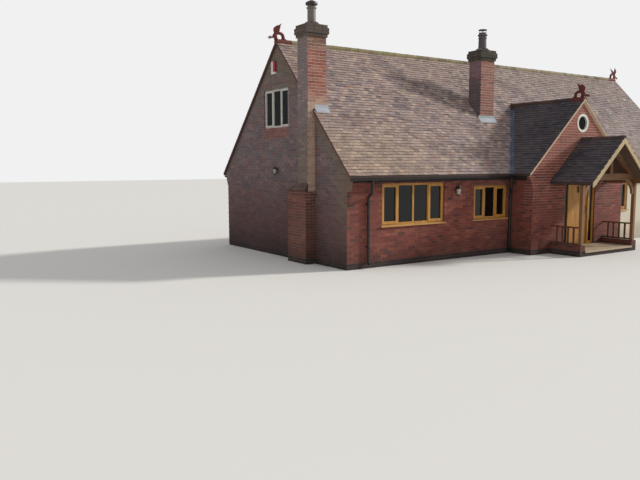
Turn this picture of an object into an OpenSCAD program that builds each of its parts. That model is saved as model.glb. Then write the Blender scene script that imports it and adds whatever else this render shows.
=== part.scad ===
// Detached brick house with a gabled front wing, an oak porch and two chimneys.
// Millimetres. The origin is on the ground at the middle of the main block,
// +X runs along the ridge, the front faces -Y and +Z is up.

/* [Main block] */
// Length over the two gable walls
length = 15300; // [14200:50:16500]
// Depth over the front and back walls
depth = 6320; // [5900:20:6800]
// Thickness of the outer walls
wall_t = 300; // [220:10:350]
// Height of one brick course with its joint
course = 75; // [70:1:80]
// Height of the ground floor above the ground
floor_h = 150; // [100:5:220]
// Height of the upper floor's surface
upper_floor_h = 2500; // [2450:10:2560]
// Thickness of the upper floor
upper_floor_t = 200; // [150:10:220]

/* [Main roof] */
// Height of the tiles at the ridge
ridge_h = 5800; // [5500:10:6100]
// Height of the tiles at the eaves
eaves_h = 2240; // [2220:5:2300]
// Reach of the tiles past the walls at the eaves
eaves_out = 195; // [180:5:230]
// Reach of the tiles past the gable walls
verge_out = 60; // [20:5:90]
// Thickness of rafters, battens and tiles, square to the slope
roof_t = 120; // [90:5:140]
// Thickness of the tiles at the eaves
tile_lip = 40; // [20:5:60]
// Reach of the rafter feet past the walls
rafter_out = 120; // [100:5:140]
// Thickness of the corbelled brick shoulders under the eaves' ends
kneeler_t = 110; // [100:5:215]
// Rise of the tile courses over the roof's plane
tile_relief = 18; // [10:1:25]
// Radius of the half-round ridge tiles
ridge_tile_r = 85; // [75:5:110]
// Radius of the porch's ridge tiles
porch_tile_r = 72; // [60:2:95]
// Distance of the wing's dragon behind the main roof's ones, along its ridge tile
wing_dragon_back = 100; // [40:10:110]
// Length of the ridge tile under each finial
finial_tile = 450; // [400:10:500]

/* [Front wing] */
// Distance from the left gable to the wing
wing_from_left = 5715; // [5300:5:6000]
// Width of the wing
wing_w = 4200; // [4000:10:4500]
// Reach of the wing past the front wall
wing_out = 770; // [650:10:1000]
// Height of the wing's ridge
wing_ridge_h = 4365; // [4150:5:4600]
// Radius of the round window's hole
round_r = 225; // [180:5:260]
// Distance from the wing's ridge down to the round window's centre
round_drop = 695; // [650:5:800]

/* [Windows] */
// Height of the bottom of the ground floor window holes
sill_h = 975; // [900:5:1050]
// Head of the wide front window
wide_head_h = 2045; // [1980:5:2060]
// Head of the other ground floor windows
small_head_h = 1925; // [1850:5:1980]
// Width of the wide windows
wide_w = 2100; // [1950:10:2250]
// Width of the small windows
small_w = 1330; // [1200:10:1450]
// Distance from the left gable to the wide front window
wide_from_left = 1060; // [900:5:1200]
// Distance from the left gable to the small front window
small_from_left = 4250; // [4000:5:4300]
// Distance from the wing to the first window right of it
right_near = 255; // [200:5:500]
// Distance from the right gable to the window next to it
far_from_right = 1155; // [900:5:1500]
// Height of the bottom of the gable window holes
gable_sill_h = 3510; // [3400:10:3600]
// Height of the gable window holes
gable_win_h = 1040; // [900:10:1100]
// Width of the gable window holes
gable_win_w = 1320; // [1200:10:1400]
// Offset of the gable windows from the ridge line, towards the back
gable_win_back = 130; // [50:5:250]
// Width of the frame bars
frame_w = 55; // [40:5:70]
// Depth of the window frames
frame_d = 70; // [60:5:90]
// Depth of the windows behind the wall face
frame_set = 45; // [20:5:90]
// Thickness of the glass units
glass_t = 20; // [8:2:28]
// Thickness of the window boards
board_t = 40; // [25:5:60]
// Reach of the window boards past the wall
board_out = 45; // [20:5:70]
// Length of the window boards' horns beside the hole
horn = 40; // [20:5:45]
// Width of the opening casements' bars inside the frame
sash_w = 38; // [30:1:50]
// Width of the same bars in the gable windows
gable_sash_w = 20; // [16:1:34]
// Reach of the opening casements past the frame
sash_out = 12; // [8:1:20]

/* [Front door] */
// Width of the leaf
leaf_w = 870; // [800:5:920]
// Height of the leaf
leaf_h = 1970; // [1900:5:1990]
// Thickness of the leaf
leaf_t = 45; // [38:1:55]
// Gap round the leaf
leaf_gap = 7; // [6:0.5:10]
// Width of the glass beside the leaf
side_glass_w = 160; // [120:5:220]
// Width of the door frame's bars
jamb_w = 60; // [50:5:80]
// Depth of the door frame
jamb_d = 90; // [80:5:110]
// Height of the threshold above the floor
threshold_h = 20; // [12:2:30]
// Offset of the door from the wing's middle, to the right
door_shift = 20; // [0:5:40]
// Height of the small pane in the leaf
light_h = 200; // [150:10:260]
// Width of the small pane in the leaf
light_w = 120; // [80:5:160]
// Radius of the hinge barrels
barrel_r = 8; // [7:0.5:10]
// Height of the lever handle above the leaf's foot
handle_h = 1000; // [950:10:1050]

/* [Porch] */
// Reach of the porch roof past the wing
porch_out = 1340; // [1200:10:1600]
// Half the width of the porch roof
porch_half = 1355; // [1330:5:1450]
// Distance from the wing's ridge down to the porch's ridge
porch_drop_h = 1135; // [1050:5:1250]
// Height of the porch eaves
porch_eaves_h = 2020; // [2000:5:2060]
// Thickness of the porch roof, square to the slope
porch_roof_t = 75; // [65:5:100]
// Distance between the middles of the posts
post_gap = 2420; // [2380:5:2450]
// Side of the square posts
post_w = 95; // [85:5:120]
// Distance from the wing to the middle of the posts
post_out = 930; // [880:5:1000]
// Distance from the porch roof's underside at the posts down to the tie beam's foot
tie_drop = 36; // [20:2:60]
// Depth of the beams on the posts at their outer side
plate_d = 60; // [50:5:90]
// Depth of the tie beam
tie_d = 180; // [140:5:200]
// Thickness of the truss timbers
truss_t = 100; // [80:5:120]
// Radius of the curved braces
brace_r = 420; // [350:10:480]
// Width of the curved braces
brace_w = 100; // [80:5:120]
// Height of the porch side walls
porch_wall_h = 290; // [250:5:320]
// Thickness of the porch side walls
porch_wall_t = 215; // [180:5:230]
// Thickness of the stone step
step_t = 50; // [40:5:70]
// Reach of the stone step past its brickwork
step_nose = 30; // [15:5:50]
// Height of the hand rail's top
rail_h = 800; // [750:10:950]
// Number of balusters on a side
balusters = 4; // [3:1:7]
// Thickness of the barge boards
barge_t = 25; // [20:1:40]
// Upright depth of the barge boards
barge_d = 165; // [150:5:220]

/* [End chimney] */
// Distance from the front wall to the chimney
stack_from_front = 1360; // [1300:10:1500]
// Width of the stack along the gable
stack_w = 460; // [430:5:560]
// Width of the base along the gable
stack_base_w = 860; // [750:10:950]
// Reach of the stack past the gable
stack_out = 210; // [150:5:220]
// Reach of the base past the gable
stack_base_out = 290; // [260:5:320]
// Reach of the stack inside the gable face
stack_in = 340; // [300:5:400]
// Height of the base
stack_base_h = 1840; // [1700:10:1950]
// Rise of the tiled offset over the base
stack_offset_h = 210; // [150:10:260]
// Underside of the stack's corbelled head
stack_head_h = 5640; // [5500:10:5900]
// Reach of each corbel course
corbel_out = 28; // [18:1:35]
// Radius of the flue pot
pot_r = 104; // [90:2:125]
// Height of the flue pot
pot_h = 380; // [250:10:500]

/* [Front chimney] */
// Distance from the left gable to the chimney
mid_from_left = 5830; // [5700:10:5950]
// Distance from the front wall to the chimney
mid_from_front = 1310; // [1250:10:1450]
// Width of the stack along the ridge
mid_w = 560; // [500:5:600]
// Depth of the stack
mid_d = 470; // [430:5:550]
// Underside of the stack's corbelled head
mid_head_h = 5550; // [5400:10:5700]
// Radius of the clay pot
mid_pot_r = 120; // [95:5:130]
// Height of the clay pot
mid_pot_h = 460; // [350:10:550]

/* [Rainwater goods] */
// Outer radius of the half-round gutters
gutter_r = 56; // [48:1:62]
// Thickness of the gutters
gutter_t = 5; // [3:1:8]
// Outer radius of the downpipes
pipe_r = 34; // [28:1:40]
// Thickness of the fascia boards
fascia_t = 20; // [15:1:30]
// Height of the fascia boards
fascia_h = 160; // [140:5:180]
// Distance from the gables to the downpipes next to them
pipe_from_end = 600; // [450:10:800]
// Thickness of the lead sheet
lead_t = 5; // [3:1:8]
// Width of the lead each side of the valleys
valley_w = 70; // [50:5:100]

/* [Fittings] */
// Height of the gable alarm box's centre
alarm_h = 5115; // [5050:5:5150]
// Offset of the alarm box from the ridge line, towards the back
alarm_back = 170; // [120:5:220]
// Height of the alarm box
alarm_tall = 330; // [250:10:380]
// Width of the alarm box
alarm_w = 200; // [160:10:260]
// Height of the front lantern's centre
lantern_h = 1815; // [1700:5:1900]
// Distance from the left gable to the front lantern
lantern_from_left = 3580; // [3500:10:3700]
// Height of the gable lamp's centre
lamp_h = 2350; // [2200:10:2500]
// Offset of the gable lamp from the ridge line, towards the back
lamp_back = 60; // [20:5:120]

/* [Hidden] */
$fn = 48;
bed = 0.2;
eps = 1;

// Faces and lines of the plan
left_x = -length / 2;
right_x = length / 2;
front_y = -depth / 2;
back_y = depth / 2;
wing_left_x = left_x + wing_from_left;
wing_right_x = wing_left_x + wing_w;
wing_mid_x = wing_left_x + wing_w / 2;
wing_y = front_y - wing_out;
door_mid_x = wing_mid_x + door_shift;
porch_y = wing_y - porch_out;
stack_y = front_y + stack_from_front;
mid_x = left_x + mid_from_left;
mid_y = front_y + mid_from_front;

// Heights tied to the wing's ridge
round_h = wing_ridge_h - round_drop;
porch_ridge_h = wing_ridge_h - porch_drop_h;

// Slopes as rise over run, and the upright depth of each roof
main_slope = (ridge_h - eaves_h) / (depth / 2 + eaves_out);
wing_slope = (wing_ridge_h - eaves_h) / (wing_w / 2 + eaves_out);
porch_slope = (porch_ridge_h - porch_eaves_h) / porch_half;
main_drop = roof_t * sqrt(1 + main_slope * main_slope);
wing_drop = roof_t * sqrt(1 + wing_slope * wing_slope);
porch_drop = porch_roof_t * sqrt(1 + porch_slope * porch_slope);
lip_drop = tile_lip * sqrt(1 + main_slope * main_slope);
wing_lip_drop = tile_lip * sqrt(1 + wing_slope * wing_slope);
wing_back_y = front_y - eaves_out + (wing_ridge_h - eaves_h) / main_slope;

// Height of the tiles at a distance in from the front wall or the wing's side wall
function main_top(d) = eaves_h + (d + eaves_out) * main_slope;
function main_under(d) = main_top(d) - main_drop;
function wing_top(d) = eaves_h + (d + eaves_out) * wing_slope;
function wing_under(d) = wing_top(d) - wing_drop;
function porch_top(x) = porch_ridge_h - abs(x) * porch_slope;
function porch_under(x) = porch_top(x) - porch_drop;

// Fascia, soffit, gutter and kneeler places
fascia_out = rafter_out + fascia_t;
fascia_top = main_top(-fascia_out) - lip_drop - bed;
fascia_bottom = fascia_top - fascia_h;
wing_fascia_top = wing_top(-fascia_out) - wing_lip_drop - bed;
soffit_t = 12;
gutter_out = fascia_out + gutter_r;
rim_drop = 6;
gutter_rim_h = main_top(-eaves_out) - lip_drop - rim_drop;
outlet_h = 40;
outlet_t = 5;
pipe_top = gutter_rim_h - gutter_r - outlet_h;
pipe_off = pipe_r + 16;
kneeler_steps = 4;

// Round window
round_glass_r = round_r - 28;
round_ring_w = 38;
round_ring_out = 12;

// Door opening, from the sizes of its parts
door_w = leaf_w + 2 * (leaf_gap + jamb_w + side_glass_w + jamb_w);
leaf_bottom = floor_h + threshold_h + leaf_gap;
side_glass_h = leaf_h + 2 * leaf_gap - jamb_w;
light_z = leaf_bottom + leaf_h * 0.76;
door_head = leaf_bottom + leaf_h + leaf_gap + jamb_w;
door_set = 35;
jamb_y = wing_y + door_set;
inner_y = jamb_y + jamb_d;
leaf_left_x = door_mid_x - leaf_w / 2;
hinge_x = leaf_left_x - leaf_gap / 2;
hinge_y = inner_y + barrel_r;
hinge_heights = [0.12, 0.5, 0.86];
side_glass_z = floor_h + threshold_h + jamb_w;
side_glass_x = door_mid_x - door_w / 2 + jamb_w;
barrel_len = 45;
pin_gap = 0.3;

// Porch plan
post_outer = post_gap / 2 + post_w / 2;
post_inner = post_gap / 2 - post_w / 2;
deck_margin = 20;
porch_deck_y = wing_y - post_out - post_w / 2 - deck_margin;
porch_wall_x = post_gap / 2 - porch_wall_t / 2;
plate_h = porch_under(post_outer) - plate_d;
tie_h = porch_under(post_inner) - tie_drop;
rail_w = 70;
rail_t = 40;

// Front and back windows: distance from the left gable, width, head and number of lights
front_left_windows = [[wide_from_left, wide_w, wide_head_h, 4], [small_from_left, small_w, small_head_h, 3]];
front_right_windows = [
    [wing_from_left + wing_w + right_near, small_w, small_head_h, 3],
    [length - far_from_right - small_w, small_w, small_head_h, 3]];
back_windows = [
    [wide_from_left, wide_w, wide_head_h, 4], [small_from_left, small_w, small_head_h, 3],
    [length - small_from_left - small_w, small_w, small_head_h, 3],
    [length - wide_from_left - wide_w, wide_w, wide_head_h, 4]];

// Helpers. Profiles drawn as (y, z) run along X, and as (x, z) along Y.
module along_x(x0, x1) { translate([x0, 0, 0]) rotate([90, 0, 90]) linear_extrude(x1 - x0) children(); }
module along_y(y0, y1) { translate([0, y1, 0]) rotate([90, 0, 0]) linear_extrude(y1 - y0) children(); }
module block(x0, x1, y0, y1, z0, z1) { translate([x0, y0, z0]) cube([x1 - x0, y1 - y0, z1 - z0]); }
module rect(x0, x1, z0, z1) { translate([x0, z0]) square([x1 - x0, z1 - z0]); }

// A straight rod between two points
module rod(a, b, r) {
    v = b - a;
    len = norm(v);
    translate(a) rotate([0, acos(v.z / len), atan2(v.y, v.x)]) cylinder(r = r, h = len);
}

// A bent pipe through a list of points, with a socket at each bend
module pipe(points, r) {
    socket = r + 4;
    for (i = [0 : len(points) - 2]) rod(points[i], points[i + 1], r);
    for (i = [1 : len(points) - 2]) translate(points[i]) sphere(r = socket);
}

// Floors
module ground_slab() {
    color("silver")
    block(left_x + wall_t, right_x - wall_t, front_y + wall_t, back_y - wall_t, 0, floor_h);
}

module hall_slab() {
    color("silver")
    block(wing_left_x + wall_t, wing_right_x - wall_t, wing_y + wall_t, front_y + wall_t, 0, floor_h);
}

module upper_floor() {
    color("burlywood")
    difference() {
        block(left_x + wall_t, right_x - wall_t, front_y + wall_t, back_y - wall_t,
            upper_floor_h - upper_floor_t, upper_floor_h);
        front_stack_hole();
    }
}

// Long walls. The profile starts at the outer face and its top follows the rafters.
module long_wall_profile() {
    polygon([[front_y, 0], [front_y + wall_t, 0],
        [front_y + wall_t, main_under(wall_t) - bed], [front_y, main_under(0) - bed]]);
}

module window_holes(list) {
    for (w = list)
        block(left_x + w[0], left_x + w[0] + w[1], front_y - eps, front_y + wall_t + eps, sill_h, w[2]);
}

module front_wall_left() {
    color("sienna")
    difference() {
        along_x(left_x + wall_t, wing_left_x + wall_t) long_wall_profile();
        window_holes(front_left_windows);
    }
}

module front_wall_right() {
    color("linen")
    difference() {
        along_x(wing_right_x - wall_t, right_x - wall_t) long_wall_profile();
        window_holes(front_right_windows);
    }
}

module back_wall() {
    color("sienna")
    mirror([0, 1, 0])
    difference() {
        along_x(left_x + wall_t, right_x - wall_t) long_wall_profile();
        window_holes(back_windows);
    }
}

// A corbelled shoulder on a wall's face at u = 0. Its top meets the roof at u = -rafter_out.
module kneeler(top, slope) {
    base = floor(top / course - kneeler_steps - 1) * course;
    step = rafter_out / kneeler_steps;
    steps = [for (i = [0 : kneeler_steps - 1])
        each [[-i * step, base + i * course], [-(i + 1) * step, base + i * course]]];
    polygon(concat([[eps, base]], steps, [[-rafter_out, top], [eps, top + (rafter_out + eps) * slope]]));
}

// The front half of a gable wall, up to the tiles
module gable_half_profile() {
    drop = lip_drop + bed;
    polygon([[0, 0], [front_y, 0], [front_y, main_top(0) - drop], [0, ridge_h - drop]]);
}

module gable_wall() {
    kneeler_top = main_top(-rafter_out) - lip_drop - bed;
    difference() {
        along_x(left_x, left_x + wall_t) {
            gable_half_profile();
            mirror([1, 0]) gable_half_profile();
        }
        block(left_x - eps, left_x + wall_t + eps, gable_win_back - gable_win_w / 2,
            gable_win_back + gable_win_w / 2, gable_sill_h, gable_sill_h + gable_win_h);
    }
    along_x(left_x, left_x + kneeler_t) {
        translate([front_y, 0]) kneeler(kneeler_top, main_slope);
        translate([back_y, 0]) mirror([1, 0]) kneeler(kneeler_top, main_slope);
    }
}

module left_gable_wall() {
    color("sienna")
    difference() {
        gable_wall();
        end_stack_core(0);
    }
}

module right_gable_wall() {
    color("linen") mirror([1, 0, 0]) gable_wall();
}

// Wing walls. The wing's outline is drawn about its own middle line.
module wing_outline() {
    half = wing_w / 2;
    drop = wing_lip_drop + bed;
    polygon([[-half, 0], [half, 0], [half, wing_top(0) - drop],
        [0, wing_ridge_h - drop], [-half, wing_top(0) - drop]]);
}

module wing_kneeler() {
    translate([-wing_w / 2, 0]) kneeler(wing_top(-rafter_out) - wing_lip_drop - bed, wing_slope);
}

module wing_side_wall() {
    along_y(wing_y + wall_t, front_y)
    polygon([[wing_left_x, 0], [wing_left_x + wall_t, 0],
        [wing_left_x + wall_t, wing_under(wall_t) - bed], [wing_left_x, wing_under(0) - bed]]);
}

module wing_left_wall() {
    color("sienna") wing_side_wall();
}

module wing_right_wall() {
    color("sienna")
    translate([2 * wing_mid_x, 0, 0]) mirror([1, 0, 0]) wing_side_wall();
}

// Part of the wing's gable wall between two heights, with the kneelers at its outer corners
module wing_gable_piece(x0, x1, z0, z1) {
    intersection() {
        translate([wing_mid_x, 0, 0]) {
            along_y(wing_y, wing_y + wall_t) wing_outline();
            along_y(wing_y, wing_y + kneeler_t) {
                wing_kneeler();
                mirror([1, 0]) wing_kneeler();
            }
        }
        block(x0, x1, wing_y - eps, wing_y + wall_t + eps, z0, z1);
    }
}

module wing_gable_left() {
    color("sienna") wing_gable_piece(wing_left_x - eaves_out, door_mid_x - door_w / 2, 0, door_head);
}

module wing_gable_right() {
    color("sienna") wing_gable_piece(door_mid_x + door_w / 2, wing_right_x + eaves_out, 0, door_head);
}

module wing_gable_top() {
    color("sienna")
    difference() {
        wing_gable_piece(wing_left_x - eaves_out, wing_right_x + eaves_out, door_head, wing_ridge_h);
        translate([wing_mid_x, wing_y - eps, round_h]) rotate([-90, 0, 0])
        cylinder(r = round_r, h = wall_t + 2 * eps);
    }
}

// Roofs. The tiles run out over the gables, and the rafters lie between them.
module main_tile_profile() {
    polygon([[0, ridge_h], [front_y - eaves_out, eaves_h], [front_y - eaves_out, eaves_h - lip_drop],
        [0, ridge_h - lip_drop]]);
}

module main_rafter_profile() {
    polygon([[0, ridge_h - lip_drop / 2], [front_y - rafter_out, main_top(-rafter_out) - lip_drop / 2],
        [front_y - rafter_out, main_under(-rafter_out)], [0, ridge_h - main_drop]]);
}

module main_slope_slab() {
    along_x(left_x - verge_out, right_x + verge_out) main_tile_profile();
    along_x(left_x + wall_t, right_x - wall_t) main_rafter_profile();
}

// Everything under the main roof's tiles, which the wing roof is cut back from
module under_main_tiles(x0, x1, y0) {
    along_x(x0, x1)
    intersection() {
        polygon([[0, 0], [0, ridge_h], [front_y - eaves_out, eaves_h], [front_y - eaves_out, 0]]);
        rect(y0, eps, -eps, ridge_h);
    }
}

// The space inside the wing, open to the main roof space
module wing_inside() {
    inner = wing_w / 2 - wall_t;
    along_y(front_y - eaves_out - eps, 0)
    translate([wing_mid_x, 0])
    polygon([[-inner, -eps], [inner, -eps], [inner, wing_under(wall_t)],
        [0, wing_ridge_h - wing_drop], [-inner, wing_under(wall_t)]]);
}

module main_roof_front() {
    color("rosybrown")
    difference() {
        main_slope_slab();
        block(wing_left_x, wing_right_x, front_y - eaves_out - eps, front_y, 0, ridge_h);
        wing_inside();
        end_stack_core(-verge_out);
        front_stack_hole();
    }
}

module main_roof_back() {
    color("rosybrown")
    mirror([0, 1, 0]) main_slope_slab();
}

module wing_tile_profile() {
    edge = -wing_w / 2 - eaves_out;
    polygon([[0, wing_ridge_h], [edge, eaves_h], [edge, eaves_h - wing_lip_drop],
        [0, wing_ridge_h - wing_lip_drop]]);
}

module wing_rafter_profile() {
    foot = -wing_w / 2 - rafter_out;
    polygon([[0, wing_ridge_h - wing_lip_drop / 2], [foot, wing_top(-rafter_out) - wing_lip_drop / 2],
        [foot, wing_under(-rafter_out)], [0, wing_ridge_h - wing_drop]]);
}

module wing_roof_half() {
    difference() {
        translate([wing_mid_x, 0, 0]) {
            along_y(wing_y - verge_out, wing_back_y) wing_tile_profile();
            along_y(wing_y + wall_t, wing_back_y) wing_rafter_profile();
        }
        under_main_tiles(wing_left_x - eaves_out - eps, wing_right_x + eaves_out + eps, front_y);
        under_main_tiles(wing_left_x - eaves_out - eps, wing_left_x, front_y - eaves_out);
    }
}

module wing_roof_left() {
    color("rosybrown") wing_roof_half();
}

module wing_roof_right() {
    color("rosybrown") translate([2 * wing_mid_x, 0, 0]) mirror([1, 0, 0]) wing_roof_half();
}

// A ridge tile's section: a round cap cut to sit on both slopes
module ridge_section(r, top, slope) {
    seat = top + bed;
    difference() {
        translate([0, top - r * 0.45]) circle(r = r);
        polygon([[0, seat], [-2 * r, seat - 2 * r * slope], [2 * r, seat - 2 * r * slope]]);
    }
}

module ridge_tiles() {
    color("tan") {
        along_x(left_x - verge_out + finial_tile, right_x + verge_out - finial_tile)
            ridge_section(ridge_tile_r, ridge_h, main_slope);
        translate([wing_mid_x, 0, 0])
        difference() {
            along_y(wing_y - verge_out + finial_tile, wing_back_y + ridge_tile_r)
                ridge_section(ridge_tile_r, wing_ridge_h, wing_slope);
            translate([0, 0, bed]) under_main_tiles(-ridge_tile_r * 2, ridge_tile_r * 2, front_y);
        }
        translate([wing_mid_x, 0, 0])
        along_y(porch_y, wing_y) ridge_section(porch_tile_r, porch_ridge_h, porch_slope);
    }
}

// Chimneys
module end_stack_core(x_from) {
    block(left_x + x_from - eps, left_x + stack_in, stack_y, stack_y + stack_w, upper_floor_h, ridge_h);
}

module front_stack_hole() {
    block(mid_x, mid_x + mid_w, mid_y, mid_y + mid_d, floor_h, ridge_h + eps);
}

// Oversailing brick courses and the mortar slope that holds the pot
module stack_head(x, y, w, d, z) {
    reach = [1, 2, 2, 1];
    for (i = [0 : 3])
        block(x - reach[i] * corbel_out, x + w + reach[i] * corbel_out,
            y - reach[i] * corbel_out, y + d + reach[i] * corbel_out, z + i * course, z + (i + 1) * course);
    translate([x + w / 2, y + d / 2, z + 4 * course])
    cylinder(r1 = min(w, d) / 2, r2 = min(w, d) / 3, h = course);
}

module end_chimney() {
    color("sienna") {
        block(left_x - stack_base_out, left_x, stack_y, stack_y + stack_base_w, 0, stack_base_h);
        block(left_x - stack_out, left_x, stack_y, stack_y + stack_w, 0, stack_head_h);
        block(left_x - stack_out, left_x + stack_in, stack_y, stack_y + stack_w, upper_floor_h, stack_head_h);
        stack_head(left_x - stack_out, stack_y, stack_out + stack_in, stack_w, stack_head_h);
    }
}

// Tiled slope where the wide base narrows to the stack
module chimney_offset_tiles() {
    nose = 25;
    edge = 20;
    top = stack_base_h + stack_offset_h;
    color("dimgray")
    difference() {
        hull() {
            block(left_x - stack_base_out - nose, left_x, stack_y, stack_y + stack_base_w + nose,
                stack_base_h, stack_base_h + edge);
            block(left_x - stack_out - eps, left_x, stack_y, stack_y + stack_w + eps, top - eps, top);
        }
        block(left_x - stack_out, left_x + eps, stack_y - eps, stack_y + stack_w, stack_base_h - eps, top + eps);
    }
}

// A round pot with a collar under its rim
module pot(r, r_top, h, wall, collar_r, collar_z, collar_h) {
    seat = 40;
    difference() {
        union() {
            cylinder(r1 = r, r2 = r_top, h = h);
            translate([0, 0, collar_z]) cylinder(r = collar_r, h = collar_h);
        }
        translate([0, 0, seat]) cylinder(r = r_top - wall, h = h);
    }
}

// Four legs that hold a cover over a pot's rim
module cover_legs(r, z0, z1) {
    leg = 16;
    for (a = [45 : 90 : 315]) rotate([0, 0, a]) translate([r, -leg / 2, z0]) cube([leg * 0.75, leg, z1 - z0]);
}

module end_chimney_pot() {
    cowl_z = pot_h + 45;
    cowl_side = 50;
    cowl_r = pot_r + 48;
    color("darkgray")
    translate([left_x + (stack_in - stack_out) / 2, stack_y + stack_w / 2, stack_head_h + 5 * course]) {
        pot(pot_r, pot_r, pot_h, 18, pot_r + 22, pot_h - 45, 22);
        cover_legs(pot_r - 16, pot_h - 30, cowl_z + eps);
        translate([0, 0, cowl_z]) cylinder(r1 = cowl_r, r2 = cowl_r - 5, h = cowl_side);
        translate([0, 0, cowl_z + cowl_side]) cylinder(r1 = cowl_r - 5, r2 = cowl_r * 0.26, h = cowl_side * 1.1);
    }
}

module front_chimney() {
    color("sienna") {
        block(mid_x, mid_x + mid_w, mid_y, mid_y + mid_d, floor_h, mid_head_h);
        stack_head(mid_x, mid_y, mid_w, mid_d, mid_head_h);
    }
}

module front_chimney_pot() {
    disc_z = mid_pot_h + 70;
    top_r = mid_pot_r - 12;
    color("saddlebrown")
    translate([mid_x + mid_w / 2, mid_y + mid_d / 2, mid_head_h + 5 * course]) {
        pot(mid_pot_r, top_r, mid_pot_h, 22, mid_pot_r + 20, mid_pot_h - 90, 35);
        translate([0, 0, mid_pot_h - 170])
        difference() {
            cylinder(r = mid_pot_r + 6, h = 20);
            translate([0, 0, -eps]) cylinder(r = top_r - eps, h = 20 + 2 * eps);
        }
        cover_legs(top_r - 20, mid_pot_h - 20, disc_z + eps);
        translate([0, 0, disc_z]) cylinder(r = mid_pot_r + 5, h = 18);
    }
}

// Lead aprons in front of the stacks, over the tile courses
module lead_apron(x, y, w) {
    reach = 110;
    over = 65;
    rise = 105;
    foot = main_top(y - front_y) + bed;
    sheet = tile_relief * sqrt(1 + main_slope * main_slope) + lead_t;
    along_x(x - over, x + w + over)
    polygon([[y, foot], [y, foot + rise], [y - lead_t, foot + rise], [y - lead_t, foot + sheet],
        [y - reach, foot - reach * main_slope + sheet], [y - reach, foot - reach * main_slope]]);
}

// Lead in the left valley: a sheet on the main slope and a sheet on the wing's slope, both short of the ridge
module valley_lead() {
    short = 205;
    foot = [wing_left_x - eaves_out, front_y - eaves_out];
    head = [wing_mid_x, wing_back_y];
    run = head - foot;
    side = [-run.y, run.x] * valley_w / norm(run);
    top = foot + run * (1 - short / run.x);
    main_t = lead_t * sqrt(1 + main_slope * main_slope);
    wing_t = lead_t * sqrt(1 + wing_slope * wing_slope);
    intersection() {
        along_x(foot.x - 2 * valley_w, head.x)
        polygon([[foot.y, eaves_h + bed], [foot.y, eaves_h + bed + main_t],
            [0, ridge_h + bed + main_t], [0, ridge_h + bed]]);
        linear_extrude(ridge_h) polygon([foot, top, top + side, foot + side, [foot.x - valley_w, foot.y]]);
    }
    intersection() {
        along_y(foot.y - 2 * valley_w, head.y)
        polygon([[foot.x, eaves_h + bed], [foot.x, eaves_h + bed + wing_t],
            [head.x, wing_ridge_h + bed + wing_t], [head.x, wing_ridge_h + bed]]);
        linear_extrude(ridge_h) polygon([foot, top, top - side, foot - side, [foot.x, foot.y - valley_w]]);
    }
}

module lead_work() {
    color("slategray") {
        lead_apron(left_x + verge_out, stack_y, stack_in - verge_out);
        lead_apron(mid_x, mid_y, mid_w);
        valley_lead();
        translate([2 * wing_mid_x, 0, 0]) mirror([1, 0, 0]) valley_lead();
    }
}

// Fascia and soffit boards, drawn on a wall's face at u = 0
module eaves_board_profile(top) {
    polygon([[-fascia_out, fascia_bottom], [-fascia_out, top], [-rafter_out, top],
        [-rafter_out, fascia_bottom + soffit_t], [0, fascia_bottom + soffit_t], [0, fascia_bottom]]);
}

module front_eaves_boards(x0, x1) {
    along_x(x0, x1) translate([front_y, 0]) eaves_board_profile(fascia_top);
}

// The wing's left eaves, from the kneeler back to the main eaves and under the main tiles
module wing_eaves_boards() {
    tiles_foot = lip_drop + bed;
    difference() {
        along_y(wing_y + kneeler_t, front_y - rafter_out)
            translate([wing_left_x, 0]) eaves_board_profile(wing_fascia_top);
        along_x(wing_left_x - eaves_out, wing_left_x)
            polygon([[front_y - eaves_out - eps, main_top(-eaves_out - eps) - tiles_foot],
                [front_y, main_top(0) - tiles_foot], [front_y, ridge_h], [front_y - eaves_out - eps, ridge_h]]);
    }
}

module eaves_boards() {
    color("black") {
        front_eaves_boards(left_x + kneeler_t, wing_left_x);
        front_eaves_boards(wing_right_x, right_x - kneeler_t);
        wing_eaves_boards();
        translate([2 * wing_mid_x, 0, 0]) mirror([1, 0, 0]) wing_eaves_boards();
        mirror([0, 1, 0]) front_eaves_boards(left_x + kneeler_t, right_x - kneeler_t);
    }
}

// Where the gutters empty into the downpipes, and where the pipes stand at the wall
function wall_pipe(x) = [[x, front_y - gutter_out], [x, front_y - pipe_off]];
corner_pipe = [[wing_left_x - gutter_out, front_y - gutter_out], [wing_left_x - pipe_off, front_y - pipe_off]];
front_pipes = [wall_pipe(left_x + pipe_from_end), corner_pipe, wall_pipe(right_x - pipe_from_end)];
back_pipes = [wall_pipe(left_x + pipe_from_end), wall_pipe(right_x - pipe_from_end)];

// The troughs as solid runs of radius r, shortened at both ends
module front_run(x0, x1, r, short) {
    along_x(x0 + short, x1 - short) translate([front_y - gutter_out, gutter_rim_h]) circle(r = r);
}

module wing_run(r, short) {
    along_y(wing_y + kneeler_t + short, front_y - gutter_out + gutter_r - short)
    translate([wing_left_x - gutter_out, gutter_rim_h]) circle(r = r);
}

module gutter_runs(r, short) {
    front_run(left_x, wing_left_x - gutter_out + gutter_r, r, short);
    front_run(wing_right_x + gutter_out - gutter_r, right_x, r, short);
    wing_run(r, short);
    translate([2 * wing_mid_x, 0, 0]) mirror([1, 0, 0]) wing_run(r, short);
    mirror([0, 1, 0]) front_run(left_x, right_x, r, short);
}

module outlets(pipes) {
    for (p = pipes) translate([p[0].x, p[0].y, pipe_top]) cylinder(r = pipe_r + outlet_t, h = outlet_h + gutter_r);
}

module gutters() {
    color("black")
    difference() {
        union() {
            gutter_runs(gutter_r, 0);
            outlets(front_pipes);
            mirror([0, 1, 0]) outlets(back_pipes);
        }
        gutter_runs(gutter_r - gutter_t, gutter_t);
        block(left_x - eps, right_x + eps, wing_y, back_y + gutter_out + gutter_r + eps,
            gutter_rim_h, gutter_rim_h + gutter_r + eps);
    }
}

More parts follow.
